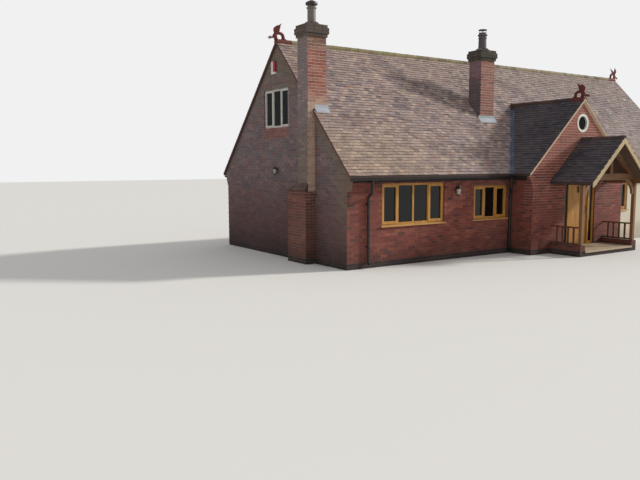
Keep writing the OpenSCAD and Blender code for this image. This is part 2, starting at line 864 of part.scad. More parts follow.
// A downpipe with a swan neck under the gutter, a shoe at the foot and two clips
module downpipe(p) {
    neck = 240;
    swan = 120;
    shoe_h = 160;
    shoe_foot_h = 90;
    shoe_out = 70;
    clip_t = 30;
    clip_w = pipe_r + 8;
    x = p[1].x;
    y = p[1].y;
    pipe([[p[0].x, p[0].y, pipe_top], [p[0].x, p[0].y, pipe_top - neck], [x, y, pipe_top - neck - swan],
        [x, y, shoe_h], [x, y - shoe_out, shoe_foot_h]], pipe_r);
    for (z = [0.25, 0.75] * pipe_top) block(x - clip_w, x + clip_w, y, front_y, z, z + clip_t);
}

module downpipes() {
    color("black") {
        for (p = front_pipes) downpipe(p);
        mirror([0, 1, 0]) for (p = back_pipes) downpipe(p);
    }
}

// A window frame in its hole, drawn from its lower left corner and facing -Y.
// The end lights are opening casements with a sash of their own.
module frame_bars(w, h, lights, sash = sash_w) {
    pitch = (w - frame_w) / lights;
    difference() {
        union() {
            cube([w, frame_d, h]);
            for (i = [0, lights - 1])
                translate([frame_w / 2 + i * pitch, -sash_out, frame_w / 2])
                cube([pitch, sash_out, h - frame_w]);
        }
        for (i = [0 : lights - 1]) {
            inset = (i == 0 || i == lights - 1) ? sash : 0;
            translate([frame_w + i * pitch + inset, -sash_out - eps, frame_w + inset])
            cube([pitch - frame_w - 2 * inset, frame_d + sash_out + 2 * eps, h - 2 * frame_w - 2 * inset]);
        }
    }
}

module frame_panes(w, h, lights, sash = sash_w) {
    pitch = (w - frame_w) / lights;
    for (i = [0 : lights - 1]) {
        inset = (i == 0 || i == lights - 1) ? sash : 0;
        translate([frame_w + i * pitch + inset, (frame_d - glass_t) / 2, frame_w + inset])
        cube([pitch - frame_w - 2 * inset, glass_t, h - 2 * frame_w - 2 * inset]);
    }
}

// Puts the children, made for one window, at each window of a list
module at_window(w) {
    translate([left_x + w[0], front_y + frame_set, sill_h + board_t]) children();
}

module window_frames() {
    color("peru") {
        for (w = concat(front_left_windows, front_right_windows))
            at_window(w) frame_bars(w[1], w[2] - sill_h - board_t, w[3]);
        mirror([0, 1, 0])
        for (w = back_windows) at_window(w) frame_bars(w[1], w[2] - sill_h - board_t, w[3]);
    }
}

module ground_floor_glass() {
    color("lightblue", 0.5) {
        for (w = concat(front_left_windows, front_right_windows))
            at_window(w) frame_panes(w[1], w[2] - sill_h - board_t, w[3]);
        mirror([0, 1, 0])
        for (w = back_windows) at_window(w) frame_panes(w[1], w[2] - sill_h - board_t, w[3]);
    }
}

// A window board with a sloping front that sheds rain, through to the frame's back
module window_board(x, w) {
    difference() {
        along_x(x - horn, x + w + horn)
        polygon([[front_y - board_out, sill_h], [front_y + frame_set + frame_d, sill_h],
            [front_y + frame_set + frame_d, sill_h + board_t], [front_y + frame_set - sash_out, sill_h + board_t],
            [front_y - board_out, sill_h + board_t * 0.6]]);
        for (side = [[x - horn - eps, x], [x + w, x + w + horn + eps]])
            block(side[0], side[1], front_y, front_y + wall_t, sill_h - eps, sill_h + board_t + eps);
    }
}

module window_boards() {
    color("peru") {
        for (w = concat(front_left_windows, front_right_windows)) window_board(left_x + w[0], w[1]);
        mirror([0, 1, 0])
        for (w = back_windows) window_board(left_x + w[0], w[1]);
    }
}

module at_gable_window() {
    translate([left_x + frame_set, gable_win_back + gable_win_w / 2, gable_sill_h]) rotate([0, 0, -90]) children();
}

module gable_window_frames() {
    color("gainsboro") {
        at_gable_window() frame_bars(gable_win_w, gable_win_h, 3, gable_sash_w);
        mirror([1, 0, 0]) at_gable_window() frame_bars(gable_win_w, gable_win_h, 3, gable_sash_w);
    }
}

// A ring round the wing's round window
module round_ring(r0, r1, y0, y1) {
    translate([wing_mid_x, y0, round_h]) rotate([-90, 0, 0])
    difference() {
        cylinder(r = r1, h = y1 - y0);
        translate([0, 0, -eps]) cylinder(r = r0, h = y1 - y0 + 2 * eps);
    }
}

module round_window_frame() {
    color("white") {
        round_ring(round_glass_r, round_r, wing_y - round_ring_out, wing_y + frame_set + frame_d);
        round_ring(round_glass_r, round_r + round_ring_w, wing_y - round_ring_out, wing_y);
    }
}

module upper_floor_glass() {
    color("lightblue", 0.5) {
        at_gable_window() frame_panes(gable_win_w, gable_win_h, 3, gable_sash_w);
        mirror([1, 0, 0]) at_gable_window() frame_panes(gable_win_w, gable_win_h, 3, gable_sash_w);
        translate([wing_mid_x, wing_y + frame_set, round_h]) rotate([-90, 0, 0])
            cylinder(r = round_glass_r, h = glass_t);
    }
}

// Front door: a frame with a narrow light each side of the leaf
module door_frame() {
    color("peru") {
        difference() {
            block(door_mid_x - door_w / 2, door_mid_x + door_w / 2, jamb_y, inner_y, floor_h, door_head);
            block(leaf_left_x - leaf_gap, leaf_left_x + leaf_w + leaf_gap, jamb_y - eps, inner_y + eps,
                floor_h + threshold_h, door_head - jamb_w);
            for (side = [0, 1]) mirror_at_door(side) side_pane(jamb_y - eps, inner_y + eps);
        }
        for (k = hinge_heights) hinge_half(k, -1);
    }
}

// The space of the narrow light left of the leaf, between two depths
module side_pane(y0, y1) {
    block(side_glass_x, side_glass_x + side_glass_w, y0, y1, side_glass_z, side_glass_z + side_glass_h);
}

module mirror_at_door(side) {
    translate([side * 2 * door_mid_x, 0, 0]) mirror([side, 0, 0]) children();
}

// One half of a hinge: a plate on the inner face and a knuckle, below for the frame, above for the leaf
module hinge_half(k, side) {
    z = leaf_bottom + k * leaf_h + (side > 0 ? pin_gap : -barrel_len);
    plate = 30;
    plate_t = 3;
    translate([hinge_x, hinge_y, z]) {
        cylinder(r = barrel_r, h = barrel_len);
        translate([side > 0 ? 0 : -plate, -barrel_r, 0]) cube([plate, plate_t, barrel_len]);
    }
}

module side_lights() {
    pane_y = jamb_y + (jamb_d - glass_t) / 2;
    color("lightblue", 0.5)
    for (side = [0, 1]) mirror_at_door(side) side_pane(pane_y, pane_y + glass_t);
}

// The small pane's space in the leaf, between two depths
module leaf_light(y0, y1) {
    block(door_mid_x - light_w / 2, door_mid_x + light_w / 2, y0, y1, light_z, light_z + light_h);
}

module door_leaf() {
    color("peru") {
        difference() {
            block(leaf_left_x, leaf_left_x + leaf_w, inner_y - leaf_t, inner_y, leaf_bottom, leaf_bottom + leaf_h);
            leaf_light(inner_y - leaf_t - eps, inner_y + eps);
        }
        for (k = hinge_heights) hinge_half(k, 1);
    }
}

module door_pane() {
    pane_t = 12;
    pane_y = inner_y - leaf_t / 2 - pane_t / 2;
    color("lightblue", 0.5) leaf_light(pane_y, pane_y + pane_t);
}

// A lever handle with its plate, drawn on a face at y = 0 and reaching out along +Y
module lever() {
    plate = [44, 6, 220];
    neck_r = 10;
    neck = 42;
    grip_r = 9;
    grip = 120;
    translate([-plate.x / 2, 0, -plate.z / 2]) cube(plate);
    rotate([-90, 0, 0]) cylinder(r = neck_r, h = plate.y + neck);
    translate([neck_r, plate.y + neck - grip_r, 0]) rotate([0, -90, 0]) cylinder(r = grip_r, h = grip);
}

module door_handle() {
    edge = 60;
    x = leaf_left_x + leaf_w - edge;
    z = leaf_bottom + handle_h;
    color("black") {
        translate([x, inner_y, z]) lever();
        translate([x, inner_y - leaf_t, z]) mirror([0, 1, 0]) lever();
    }
}

// Porch brickwork: a low wall each side of a raised floor
module porch_base() {
    outer = porch_wall_x + porch_wall_t;
    color("sienna")
    along_y(porch_deck_y, wing_y)
    translate([wing_mid_x, 0])
    difference() {
        rect(-outer, outer, 0, porch_wall_h);
        rect(-porch_wall_x, porch_wall_x, floor_h - step_t, porch_wall_h + eps);
    }
}

module porch_step() {
    color("linen")
    block(wing_mid_x - porch_wall_x, wing_mid_x + porch_wall_x, porch_deck_y - step_nose, wing_y,
        floor_h - step_t, floor_h);
}

module each_side() {
    translate([wing_mid_x, 0, 0]) {
        children();
        mirror([1, 0, 0]) children();
    }
}

module porch_posts() {
    color("peru")
    each_side()
    block(-post_outer, -post_inner, wing_y - post_out - post_w / 2, wing_y - post_out + post_w / 2,
        porch_wall_h, plate_h);
}

// Beams along the sides that carry the porch rafters
module porch_plates() {
    color("peru")
    each_side()
    along_y(porch_y + barge_t, wing_y)
    polygon([[-post_outer, plate_h], [-post_inner, plate_h],
        [-post_inner, porch_under(post_inner) - bed], [-post_outer, porch_under(post_outer) - bed]]);
}

// The space under the porch roof, down by a distance
module porch_gable(drop) {
    polygon([[0, porch_ridge_h - drop], [-porch_half, porch_eaves_h - drop], [porch_half, porch_eaves_h - drop]]);
}

module porch_truss() {
    post = 120;
    rafter_drop = 110 * sqrt(1 + porch_slope * porch_slope);
    y0 = wing_y - post_out - truss_t / 2;
    color("peru")
    along_y(y0, y0 + truss_t)
    translate([wing_mid_x, 0])
    intersection() {
        union() {
            rect(-post_inner, post_inner, tie_h, tie_h + tie_d);
            rect(-post / 2, post / 2, tie_h, porch_ridge_h);
            difference() {
                porch_gable(0);
                porch_gable(porch_drop + rafter_drop);
            }
        }
        polygon([[-post_inner, tie_h], [post_inner, tie_h], [post_inner, porch_under(post_inner) - bed],
            [0, porch_ridge_h - porch_drop - bed], [-post_inner, porch_under(post_inner) - bed]]);
    }
}

// Curved braces from the posts up to the tie beam
module porch_braces() {
    seat = 12;
    inset = 15;
    reach = brace_r - seat;
    y0 = wing_y - post_out - truss_t / 2 + inset;
    color("peru")
    each_side()
    along_y(y0, y0 + truss_t - 2 * inset)
    intersection() {
        translate([-post_inner + reach, tie_h - reach])
        difference() {
            circle(r = brace_r, $fn = 96);
            circle(r = brace_r - brace_w, $fn = 96);
        }
        rect(-post_inner, -post_inner + reach, tie_h - reach, tie_h);
    }
}

module porch_slope_slab() {
    lip = 25;
    lip_h = 50;
    along_y(porch_y + barge_t, wing_y)
    polygon([[0, porch_ridge_h], [-porch_half, porch_eaves_h], [-porch_half, porch_eaves_h - lip_h],
        [-porch_half + lip, porch_eaves_h - lip_h], [-porch_half + lip, porch_under(porch_half - lip)],
        [0, porch_ridge_h - porch_drop]]);
}

module porch_roof_left() {
    color("dimgray") translate([wing_mid_x, 0, 0]) porch_slope_slab();
}

module porch_roof_right() {
    color("dimgray") translate([wing_mid_x, 0, 0]) mirror([1, 0, 0]) porch_slope_slab();
}

// Boards along the porch's front verges, cut level at the foot
module barge_boards() {
    foot = porch_eaves_h - 130;
    color("tan")
    translate([wing_mid_x, 0, 0])
    along_y(porch_y, porch_y + barge_t)
    intersection() {
        difference() {
            union() {
                porch_gable(0);
                rect(-porch_half, porch_half, foot, porch_eaves_h);
            }
            hull() {
                porch_gable(barge_d);
                translate([0, -porch_half]) porch_gable(barge_d);
            }
        }
        rect(-porch_half, porch_half, foot, porch_ridge_h);
    }
}

module porch_balustrades() {
    gap = 20;
    slat = 54;
    slat_t = 22;
    y0 = wing_y - post_out + post_w / 2;
    pitch = (wing_y - y0) / (balusters + 1);
    x = -post_gap / 2;
    bottom = porch_wall_h + gap;
    foot_w = rail_w - gap;
    color("peru")
    each_side() {
        block(x - rail_w / 2, x + rail_w / 2, y0, wing_y, rail_h - rail_t, rail_h);
        block(x - foot_w / 2, x + foot_w / 2, y0, wing_y, bottom, bottom + rail_t);
        for (i = [1 : balusters])
            block(x - slat_t / 2, x + slat_t / 2, y0 + pitch * i - slat / 2, y0 + pitch * i + slat / 2,
                bottom, rail_h - eps);
    }
}

// Terracotta dragons, each standing on its own ridge tile and looking along -X.
// The tile's outer end is at x = 0 and the roof's slopes meet at z = 0.
// The body is a ring round a hole, with the head hanging in front and the tail behind.
module dragon(slope, back) {
    body_t = 64;
    seat = 30;
    hole = [118, 106];
    hole_r = 60;
    along_x(0, finial_tile) ridge_section(ridge_tile_r, 0, slope);
    translate([back, 0, 0]) {
        along_y(-body_t / 2, body_t / 2)
        difference() {
            polygon([[-245, 66], [-205, 96], [-160, 108], [-112, 98], [-80, 118], [-62, 160], [-24, 206], [34, 236],
                [92, 248], [150, 244], [206, 220], [250, 178], [274, 130], [292, 84], [345, 62], [342, seat],
                [0, seat], [-10, 8], [-52, 8], [-66, 44], [-98, 62], [-154, 25], [-206, 12], [-168, 56],
                [-238, 46]]);
            translate(hole) circle(r = hole_r);
        }
        for (side = [-1, 1]) dragon_wing(side);
    }
}

// A raised wing, leaning outwards, with its pointed tip swept back
module dragon_wing(side) {
    wing_t = 16;
    lean = 18;
    root = 185;
    translate([0, side * 14, root]) rotate([-side * lean, 0, 0])
    along_y(-wing_t / 2, wing_t / 2)
    polygon([[-14, 0], [-38, 50], [-46, 105], [-26, 160], [30, 200], [142, 276], [104, 200], [110, 140],
        [84, 104], [104, 56], [96, 0]]);
}

module ridge_finials() {
    color("firebrick") {
        translate([left_x - verge_out, 0, ridge_h]) dragon(main_slope, 0);
        translate([right_x + verge_out, 0, ridge_h]) mirror([1, 0, 0]) dragon(main_slope, 0);
        translate([wing_mid_x, wing_y - verge_out, wing_ridge_h]) rotate([0, 0, 90])
            dragon(wing_slope, wing_dragon_back);
    }
}

// Lantern on the front wall and lamp on the gable, drawn with the wall at y = 0
module lantern(h) {
    plate = [60, 12, 160];
    arm = 90;
    rim_r = h / 4;
    translate([-plate.x / 2, -plate.y, -plate.z / 2]) cube(plate);
    rod([0, -plate.y + eps, 40], [0, -arm, 70], 8);
    translate([0, -arm, -h / 2]) cylinder(r1 = rim_r * 0.5, r2 = rim_r * 0.88, h = h * 0.75, $fn = 24);
    translate([0, -arm, h / 4]) cylinder(r1 = rim_r, r2 = rim_r * 0.2, h = h / 4, $fn = 24);
}

module wall_lanterns() {
    color("black") {
        translate([left_x + lantern_from_left, front_y, lantern_h]) lantern(280);
        translate([left_x, lamp_back, lamp_h]) rotate([0, 0, -90]) lantern(220);
    }
}

module alarm_box() {
    depth = 55;
    color("white")
    block(left_x - depth, left_x, alarm_back - alarm_w / 2, alarm_back + alarm_w / 2,
        alarm_h - alarm_tall / 2, alarm_h + alarm_tall / 2);
}

ground_slab();
hall_slab();
upper_floor();
front_wall_left();
front_wall_right();
back_wall();
left_gable_wall();
right_gable_wall();
wing_left_wall();
wing_right_wall();
wing_gable_left();
wing_gable_right();
wing_gable_top();
main_roof_front();
main_roof_back();
wing_roof_left();
wing_roof_right();
ridge_tiles();
lead_work();
eaves_boards();
gutters();
downpipes();
end_chimney();
chimney_offset_tiles();
end_chimney_pot();
front_chimney();
front_chimney_pot();
window_frames();
gable_window_frames();
round_window_frame();
ground_floor_glass();
upper_floor_glass();
window_boards();
door_frame();
side_lights();
door_leaf();
door_pane();
door_handle();
porch_base();
porch_step();
porch_posts();
porch_plates();
porch_truss();
porch_braces();
porch_roof_left();
porch_roof_right();
barge_boards();
porch_balustrades();
ridge_finials();
wall_lanterns();
alarm_box();
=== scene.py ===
# %% [markdown]
# A detached brick house in Blender
#
# The house is a long brick block with a steep roof of plain clay tiles, a small gabled
# wing, an oak porch and two chimneys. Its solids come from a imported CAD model, and this
# lesson dresses them: every tile and every brick is laid as its own small block, and
# each real material gets a procedural finish.
#
# The solids could be loaded with any importer.

import bpy
import numpy as np
from mathutils import Matrix, Vector


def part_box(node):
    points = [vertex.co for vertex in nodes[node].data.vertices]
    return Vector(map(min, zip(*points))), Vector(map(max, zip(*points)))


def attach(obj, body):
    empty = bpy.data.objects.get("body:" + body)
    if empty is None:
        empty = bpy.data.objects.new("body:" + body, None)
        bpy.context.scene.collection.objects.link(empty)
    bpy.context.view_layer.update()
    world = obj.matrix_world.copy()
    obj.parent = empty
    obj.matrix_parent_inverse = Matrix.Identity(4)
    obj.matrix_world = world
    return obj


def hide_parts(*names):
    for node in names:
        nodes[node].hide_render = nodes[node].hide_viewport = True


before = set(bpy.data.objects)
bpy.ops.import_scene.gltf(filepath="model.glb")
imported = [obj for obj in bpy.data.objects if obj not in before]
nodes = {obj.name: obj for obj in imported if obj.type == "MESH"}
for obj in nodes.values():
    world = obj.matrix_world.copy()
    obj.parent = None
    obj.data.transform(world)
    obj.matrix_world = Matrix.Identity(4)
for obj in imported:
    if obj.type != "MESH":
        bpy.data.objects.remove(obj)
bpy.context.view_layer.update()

# %% [markdown]
# ## Reference lines
#
# On site everything is set out from a few strings: the wall faces, the eaves, the
# ridges. They could be typed again as numbers, but they are read from the solids'
# boxes, so that a change in the CAD model carries over to every brick and tile.

# %% Set out the strings
def low(name):
    """Lowest corner of a solid's box."""
    return np.array(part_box(name)[0])


def high(name):
    """Highest corner of a solid's box."""
    return np.array(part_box(name)[1])


COURSE = 0.075
BRICK = 0.225
WALL = 0.3
EAVES_Z = 2.24
LEFT, FRONT = low("ground_slab")[:2] - WALL
RIGHT, BACK = high("ground_slab")[:2] + WALL
WING_LEFT = low("wing_left_wall")[0]
WING_RIGHT = high("wing_right_wall")[0]
WING_MID = (WING_LEFT + WING_RIGHT) / 2
WING_FRONT = low("wing_left_wall")[1] - WALL
EAVES_Y = low("main_roof_front")[1]
VERGE = LEFT - low("main_roof_front")[0]
RIDGE_Z = high("main_roof_back")[2]
SLOPE = (RIDGE_Z - EAVES_Z) / -EAVES_Y
WING_EAVES_X, WING_EAVES_FRONT = low("wing_roof_left")[:2]
WING_RIDGE_Z = high("wing_roof_left")[2]
WING_SLOPE = (WING_RIDGE_Z - EAVES_Z) / (WING_MID - WING_EAVES_X)
SOFFIT_Z = low("eaves_boards")[2]
print("walls", LEFT, RIGHT, FRONT, BACK, "slopes", SLOPE, WING_SLOPE, "soffit", SOFFIT_Z)

# %% [markdown]
# ## Camera
#
# The view is a long look from the left front, a little above a person's height. A
# camera can be aimed with a Track To constraint, but its angles were solved from the
# house's own vanishing lines, so the three axes are written straight into its matrix.

# %% Place the camera
def camera_axes(yaw, pitch, roll):
    """Right, up and back axes of a camera: forward = (sin yaw cos pitch, cos yaw cos pitch, -sin pitch),
    right = (cos yaw, -sin yaw, 0), up = right x forward, then both are turned by roll about forward."""
    forward = np.array([np.sin(yaw) * np.cos(pitch), np.cos(yaw) * np.cos(pitch), -np.sin(pitch)])
    right = np.array([np.cos(yaw), -np.sin(yaw), 0.0])
    up = np.cross(right, forward)
    turned_right = np.cos(roll) * right + np.sin(roll) * up
    turned_up = -np.sin(roll) * right + np.cos(roll) * up
    return turned_right, turned_up, -forward


def place_object(name, data):
    """Puts data into the scene as an object."""
    thing = bpy.data.objects.new(name, data)
    bpy.context.scene.collection.objects.link(thing)
    return thing


axes = camera_axes(*np.radians([33.759, 6.554, -0.166]))
lens = bpy.data.cameras.new("view")
lens.lens = 37.17
lens.sensor_width = 36
lens.clip_end = 400
camera = place_object("view", lens)
turned = Matrix(np.array(axes).T.tolist()).to_4x4()
camera.matrix_world = Matrix.Translation((-16.821, -15.735, 2.523)) @ turned
bpy.context.scene.camera = camera
bpy.context.scene.view_settings.view_transform = "Standard"

# %% [markdown]
# ## Node helpers
#
# A finish is a small graph of nodes. The graphs could be drawn by hand in the shader
# editor; here short functions add a node, set its sockets and link it, so each
# material below reads as a list of what it is made of.

# %% Small tools for materials
def put(tree, socket, value):
    """Links another node's output into a socket, or sets the socket's own value."""
    if isinstance(value, bpy.types.NodeSocket):
        tree.links.new(value, socket)
    else:
        socket.default_value = value


def add(tree, kind, settings=None, **sockets):
    """Adds a node: settings are its properties, sockets are values or outputs by name or index (i0, i1)."""
    node = tree.nodes.new("ShaderNode" + kind)
    for key, value in (settings or {}).items():
        setattr(node, key, value)
    for key, value in sockets.items():
        put(tree, node.inputs[int(key[1:]) if key[1:].isdigit() else key.replace("_", " ")], value)
    return node


def calc(tree, operation, *values):
    """One step of arithmetic on numbers or outputs."""
    inputs = {f"i{k}": value for k, value in enumerate(values)}
    return add(tree, "Math", {"operation": operation}, **inputs).outputs[0]


def ramp(tree, value, start, stop, first=0.0, last=1.0, soft=False):
    """First up to start, last from stop on, and a straight or soft change between them."""
    kind = {"interpolation_type": "SMOOTHSTEP" if soft else "LINEAR"}
    return add(tree, "MapRange", kind, Value=value, i1=start, i2=stop, i3=first, i4=last).outputs[0]


def noise(tree, place, **sockets):
    """Cloudy noise over a place."""
    return add(tree, "TexNoise", Vector=place, **sockets).outputs[0]


def bumped(tree, height, strength, distance):
    """A normal that follows a height."""
    return add(tree, "Bump", Strength=strength, Distance=distance, Height=height).outputs["Normal"]


def coordinates(tree):
    """The place of a point in the house, in metres."""
    return tree.nodes.new("ShaderNodeTexCoord").outputs["Object"]


def split(tree, vector):
    """The X, Y and Z of a vector."""
    return add(tree, "SeparateXYZ", i0=vector).outputs


def facing(tree):
    """The X, Y and Z of the way that a surface looks."""
    return split(tree, tree.nodes.new("ShaderNodeNewGeometry").outputs["Normal"])


def srgb(red, green, blue):
    """A colour written as seen on a screen, 0 to 255, turned into the linear numbers that a shader takes."""
    c = np.array([red, green, blue]) / 255
    linear = np.where(c <= 0.04045, c / 12.92, ((c + 0.055) / 1.055) ** 2.4)
    return (*[float(v) for v in linear], 1.0)


def blend_colours(tree, mask, first, second, amount=None, how="MIX"):
    """One colour where the mask is 0 and another where it is 1, or as much of it as the amount says. A
    colour is an output, three numbers as seen on a screen, or four linear numbers."""
    mix = add(tree, "Mix", {"data_type": "RGBA", "blend_type": how})
    put(tree, mix.inputs[0], mask if amount is None else calc(tree, "MULTIPLY", mask, amount))
    for index, colour in ((6, first), (7, second)):
        on_screen = isinstance(colour, tuple) and len(colour) == 3
        put(tree, mix.inputs[index], srgb(*colour) if on_screen else colour)
    return mix.outputs[2]


def new_material(name, roughness, **plain):
    """A Principled material. Plain numbers go straight onto the shader's own sockets."""
    material = bpy.data.materials.new(name)
    material.use_nodes = True
    shader = material.node_tree.nodes["Principled BSDF"]
    shader.inputs["Roughness"].default_value = roughness
    for key, value in plain.items():
        shader.inputs[key.replace("_", " ")].default_value = value
    return material, material.node_tree


def surface(material, colour, normal=None):
    """Joins a material's colour and normal to its shader and hands the material on."""
    tree = material.node_tree
    shader = tree.nodes["Principled BSDF"]
    put(tree, shader.inputs["Base Color"], colour)
    if normal is not None:
        put(tree, shader.inputs["Normal"], normal)
    return material


def new_group(name, outputs=("Mask",), **inputs):
    """An empty node group with named inputs and their defaults. Returns it with its inputs, its outputs and
    the place of a point."""
    group = bpy.data.node_groups.new(name, "ShaderNodeTree")
    for label, value in inputs.items():
        group.interface.new_socket(label, in_out="INPUT", socket_type="NodeSocketFloat").default_value = value
    for label in outputs:
        group.interface.new_socket(label, in_out="OUTPUT", socket_type="NodeSocketFloat")
    given, result = group.nodes.new("NodeGroupInput"), group.nodes.new("NodeGroupOutput")
    return group, given.outputs, result.inputs, coordinates(group)


def use_group(tree, group, **values):
    """Places a node group, sets its inputs and returns its outputs."""
    node = tree.nodes.new("ShaderNodeGroup")
    node.node_tree = group
    for key, value in values.items():
        node.inputs[key].default_value = value
    return node.outputs

# %% [markdown]
# ## Light
#
# Low sun reaches the house from the right, so the gable end stays in soft shade. An
# image of real surroundings would tint everything; a plain sun lamp with a wide disc
# and an even white world keep the colours as they are written. The camera sees a
# paler world than the one that lights the walls, and glass mirrors a darker one, so
# that the windows stay dark.

# %% Light the scene
def make_world(light, shown, mirrored):
    """A world with one grey for light, one for the camera and one for glossy and transmission rays."""
    world = bpy.data.worlds.new("studio")
    world.use_nodes = True
    tree = world.node_tree
    ray = tree.nodes.new("ShaderNodeLightPath").outputs
    sharp = calc(tree, "MAXIMUM", ray["Is Glossy Ray"], ray["Is Transmission Ray"])
    seen = blend_colours(tree, ray["Is Camera Ray"], (light, light, light, 1),
        (shown, shown, shown * 1.01, 1))
    bounced = blend_colours(tree, sharp, seen, (mirrored, mirrored, mirrored * 1.04, 1))
    tree.links.new(bounced, tree.nodes["Background"].inputs["Color"])
    bpy.context.scene.world = world


make_world(0.56, 0.88, 0.24)
sun = bpy.data.lights.new("sun", "SUN")
sun.energy = 2.9
sun.angle = np.radians(6)
sun.color = (1.0, 0.96, 0.90)
place_object("sun", sun).rotation_euler = Vector((0.86, -0.28, 0.42)).to_track_quat("Z", "Y").to_euler()

# %% [markdown]
# ## Effects that many finishes share
#
# Weather treats brick, tile, render and timber alike: fine grit on the surface, large
# soft patches, thin streaks under edges, damp at the foot of a wall. Each effect could
# be repeated in every material, but one node group with named sockets keeps it in one
# place.

# %% Shared node groups
def make_grit():
    """Fine noise for a rough surface. Height feeds a bump, Mask is the same noise at a coarser size."""
    group, given, result, place = new_group("grit", ("Height", "Mask"), Scale=120.0)
    fine = noise(group, place, Scale=given["Scale"], Detail=3.0, Roughness=0.65)
    coarse = noise(group, place, Scale=calc(group, "MULTIPLY", given["Scale"], 0.2), Detail=4.0)
    group.links.new(fine, result["Height"])
    group.links.new(coarse, result["Mask"])
    return group


def make_patches():
    """Large soft patches: noise of the given Scale pushed through a ramp between Low and High."""
    group, given, result, place = new_group("patches", Scale=0.6, Low=0.45, High=0.65)
    clouds = noise(group, place, Scale=given["Scale"], Detail=6.0, Roughness=0.6)
    group.links.new(ramp(group, clouds, given["Low"], given["High"], soft=True), result["Mask"])
    return group


def make_streaks():
    """Thin upright runs of dirt: noise squeezed sideways, stretched in Z."""
    group, given, result, place = new_group("streaks", Low=0.5, High=0.75)
    stretched = add(group, "Mapping", Vector=place, Scale=(9.0, 9.0, 0.7)).outputs[0]
    runs = noise(group, stretched, Scale=1.0, Detail=5.0, Roughness=0.6)
    group.links.new(ramp(group, runs, given["Low"], given["High"], soft=True), result["Mask"])
    return group


def make_height_mask():
    """1 below Foot and 0 above Top, with a soft uneven edge between them."""
    group, given, result, place = new_group("height_mask", Foot=0.1, Top=0.7)
    clouds = noise(group, place, Scale=2.5, Detail=4.0)
    swayed = calc(group, "MULTIPLY_ADD", clouds, 0.8, split(group, place)["Z"])
    height = calc(group, "SUBTRACT", swayed, 0.4)
    group.links.new(ramp(group, height, given["Foot"], given["Top"], 1.0, 0.0, soft=True), result["Mask"])
    return group


def make_indoors():
    """1 behind the walls' outer 120 mm: the smaller of two box distances, block and wing, is below 0."""
    group, given, result, place = new_group("indoors")
    axes = split(group, place)

    def reach(axis, middle, half):
        away = calc(group, "ABSOLUTE", calc(group, "SUBTRACT", axes[axis], float(middle)))
        return calc(group, "SUBTRACT", away, float(half))

    skin = 0.12
    deep = -(WING_FRONT + skin) / 2
    block = calc(group, "MAXIMUM", reach("X", 0, RIGHT - skin), reach("Y", 0, BACK - skin))
    wing = calc(group, "MAXIMUM", reach("X", WING_MID, WING_RIGHT - WING_MID - skin), reach("Y", -deep, deep))
    nearest = calc(group, "MINIMUM", block, wing)
    group.links.new(calc(group, "LESS_THAN", nearest, 0.0), result["Mask"])
    return group


GRIT = make_grit()
PATCHES = make_patches()
STREAKS = make_streaks()
HEIGHT = make_height_mask()
INDOORS = make_indoors()

# %% [markdown]
# ## Laying blocks in courses
#
# Bricks and roof tiles follow one rule: equal cells in level courses, every second
# course shifted, cut where the wall or roof ends. An array modifier can repeat a block
# but can't cut it to a gable. So each course is worked out as numbers: the cells are
# clipped between a left edge and a right edge that may lean, and around the holes.

# %% Courses of cells
BLOCK_FACES = [[3, 2, 1, 0], [4, 5, 6, 7], [0, 1, 5, 4], [1, 2, 6, 5], [2, 3, 7, 6], [3, 0, 4, 7]]


def edge(value):
    """Where an edge stands at each height: a function as it is, or a number for an upright edge."""
    return value if callable(value) else lambda v: value


def lay_courses(left, right, start, stop, height, width, gap, holes=(), first=0.0, least=0.02):
    """Cells of a bonded face as rows of (left, right) at the lower edge, (left, right) at the upper edge,
    and the two heights. Cell k of course r spans u = first + (k + (r mod 2) / 2) width, clipped to
    left(v)..right(v) and to the free stretches between the holes, which are (u0, u1, v0, v1)."""
    left, right = edge(left), edge(right)
    rows = []
    for r in range(int(np.floor(start / height + 1e-6)), int(np.ceil(stop / height - 1e-6))):
        v0 = max(r * height + gap / 2, start)
        v1 = min((r + 1) * height - gap / 2, stop)
        if v1 - v0 < 0.006:
            continue
        cuts = sorted((a, b) for a, b, c, d in holes if min(v1, d) - max(v0, c) > 0.004)
        for a, b in zip([-1e3] + [b for a, b in cuts], [a for a, b in cuts] + [1e3]):
            ends = [(max(left(v), a), min(right(v), b)) for v in (v0, v1)]
            if max(other - one for one, other in ends) < least:
                continue
            offset = first + (r % 2) * 0.5 * width
            from_left = (min(ends[0][0], ends[1][0]) - offset) / width
            to_right = (max(ends[0][1], ends[1][1]) - offset) / width
            u0 = offset + np.arange(np.floor(from_left), np.ceil(to_right)) * width + gap / 2
            u1 = u0 + width - gap
            clipped = [np.clip(u, one, max(one, other)) for one, other in ends for u in (u0, u1)]
            cells = np.stack([*clipped, np.full_like(u0, v0), np.full_like(u0, v1)], axis=1)
            wide = np.maximum(cells[:, 1] - cells[:, 0], cells[:, 3] - cells[:, 2])
            rows.append(cells[wide > least])
    cells = np.concatenate(rows)
    for narrow in (0, 2):
        cells[:, narrow + 1] = np.maximum(cells[:, narrow + 1], cells[:, narrow] + 5e-4)
    return cells


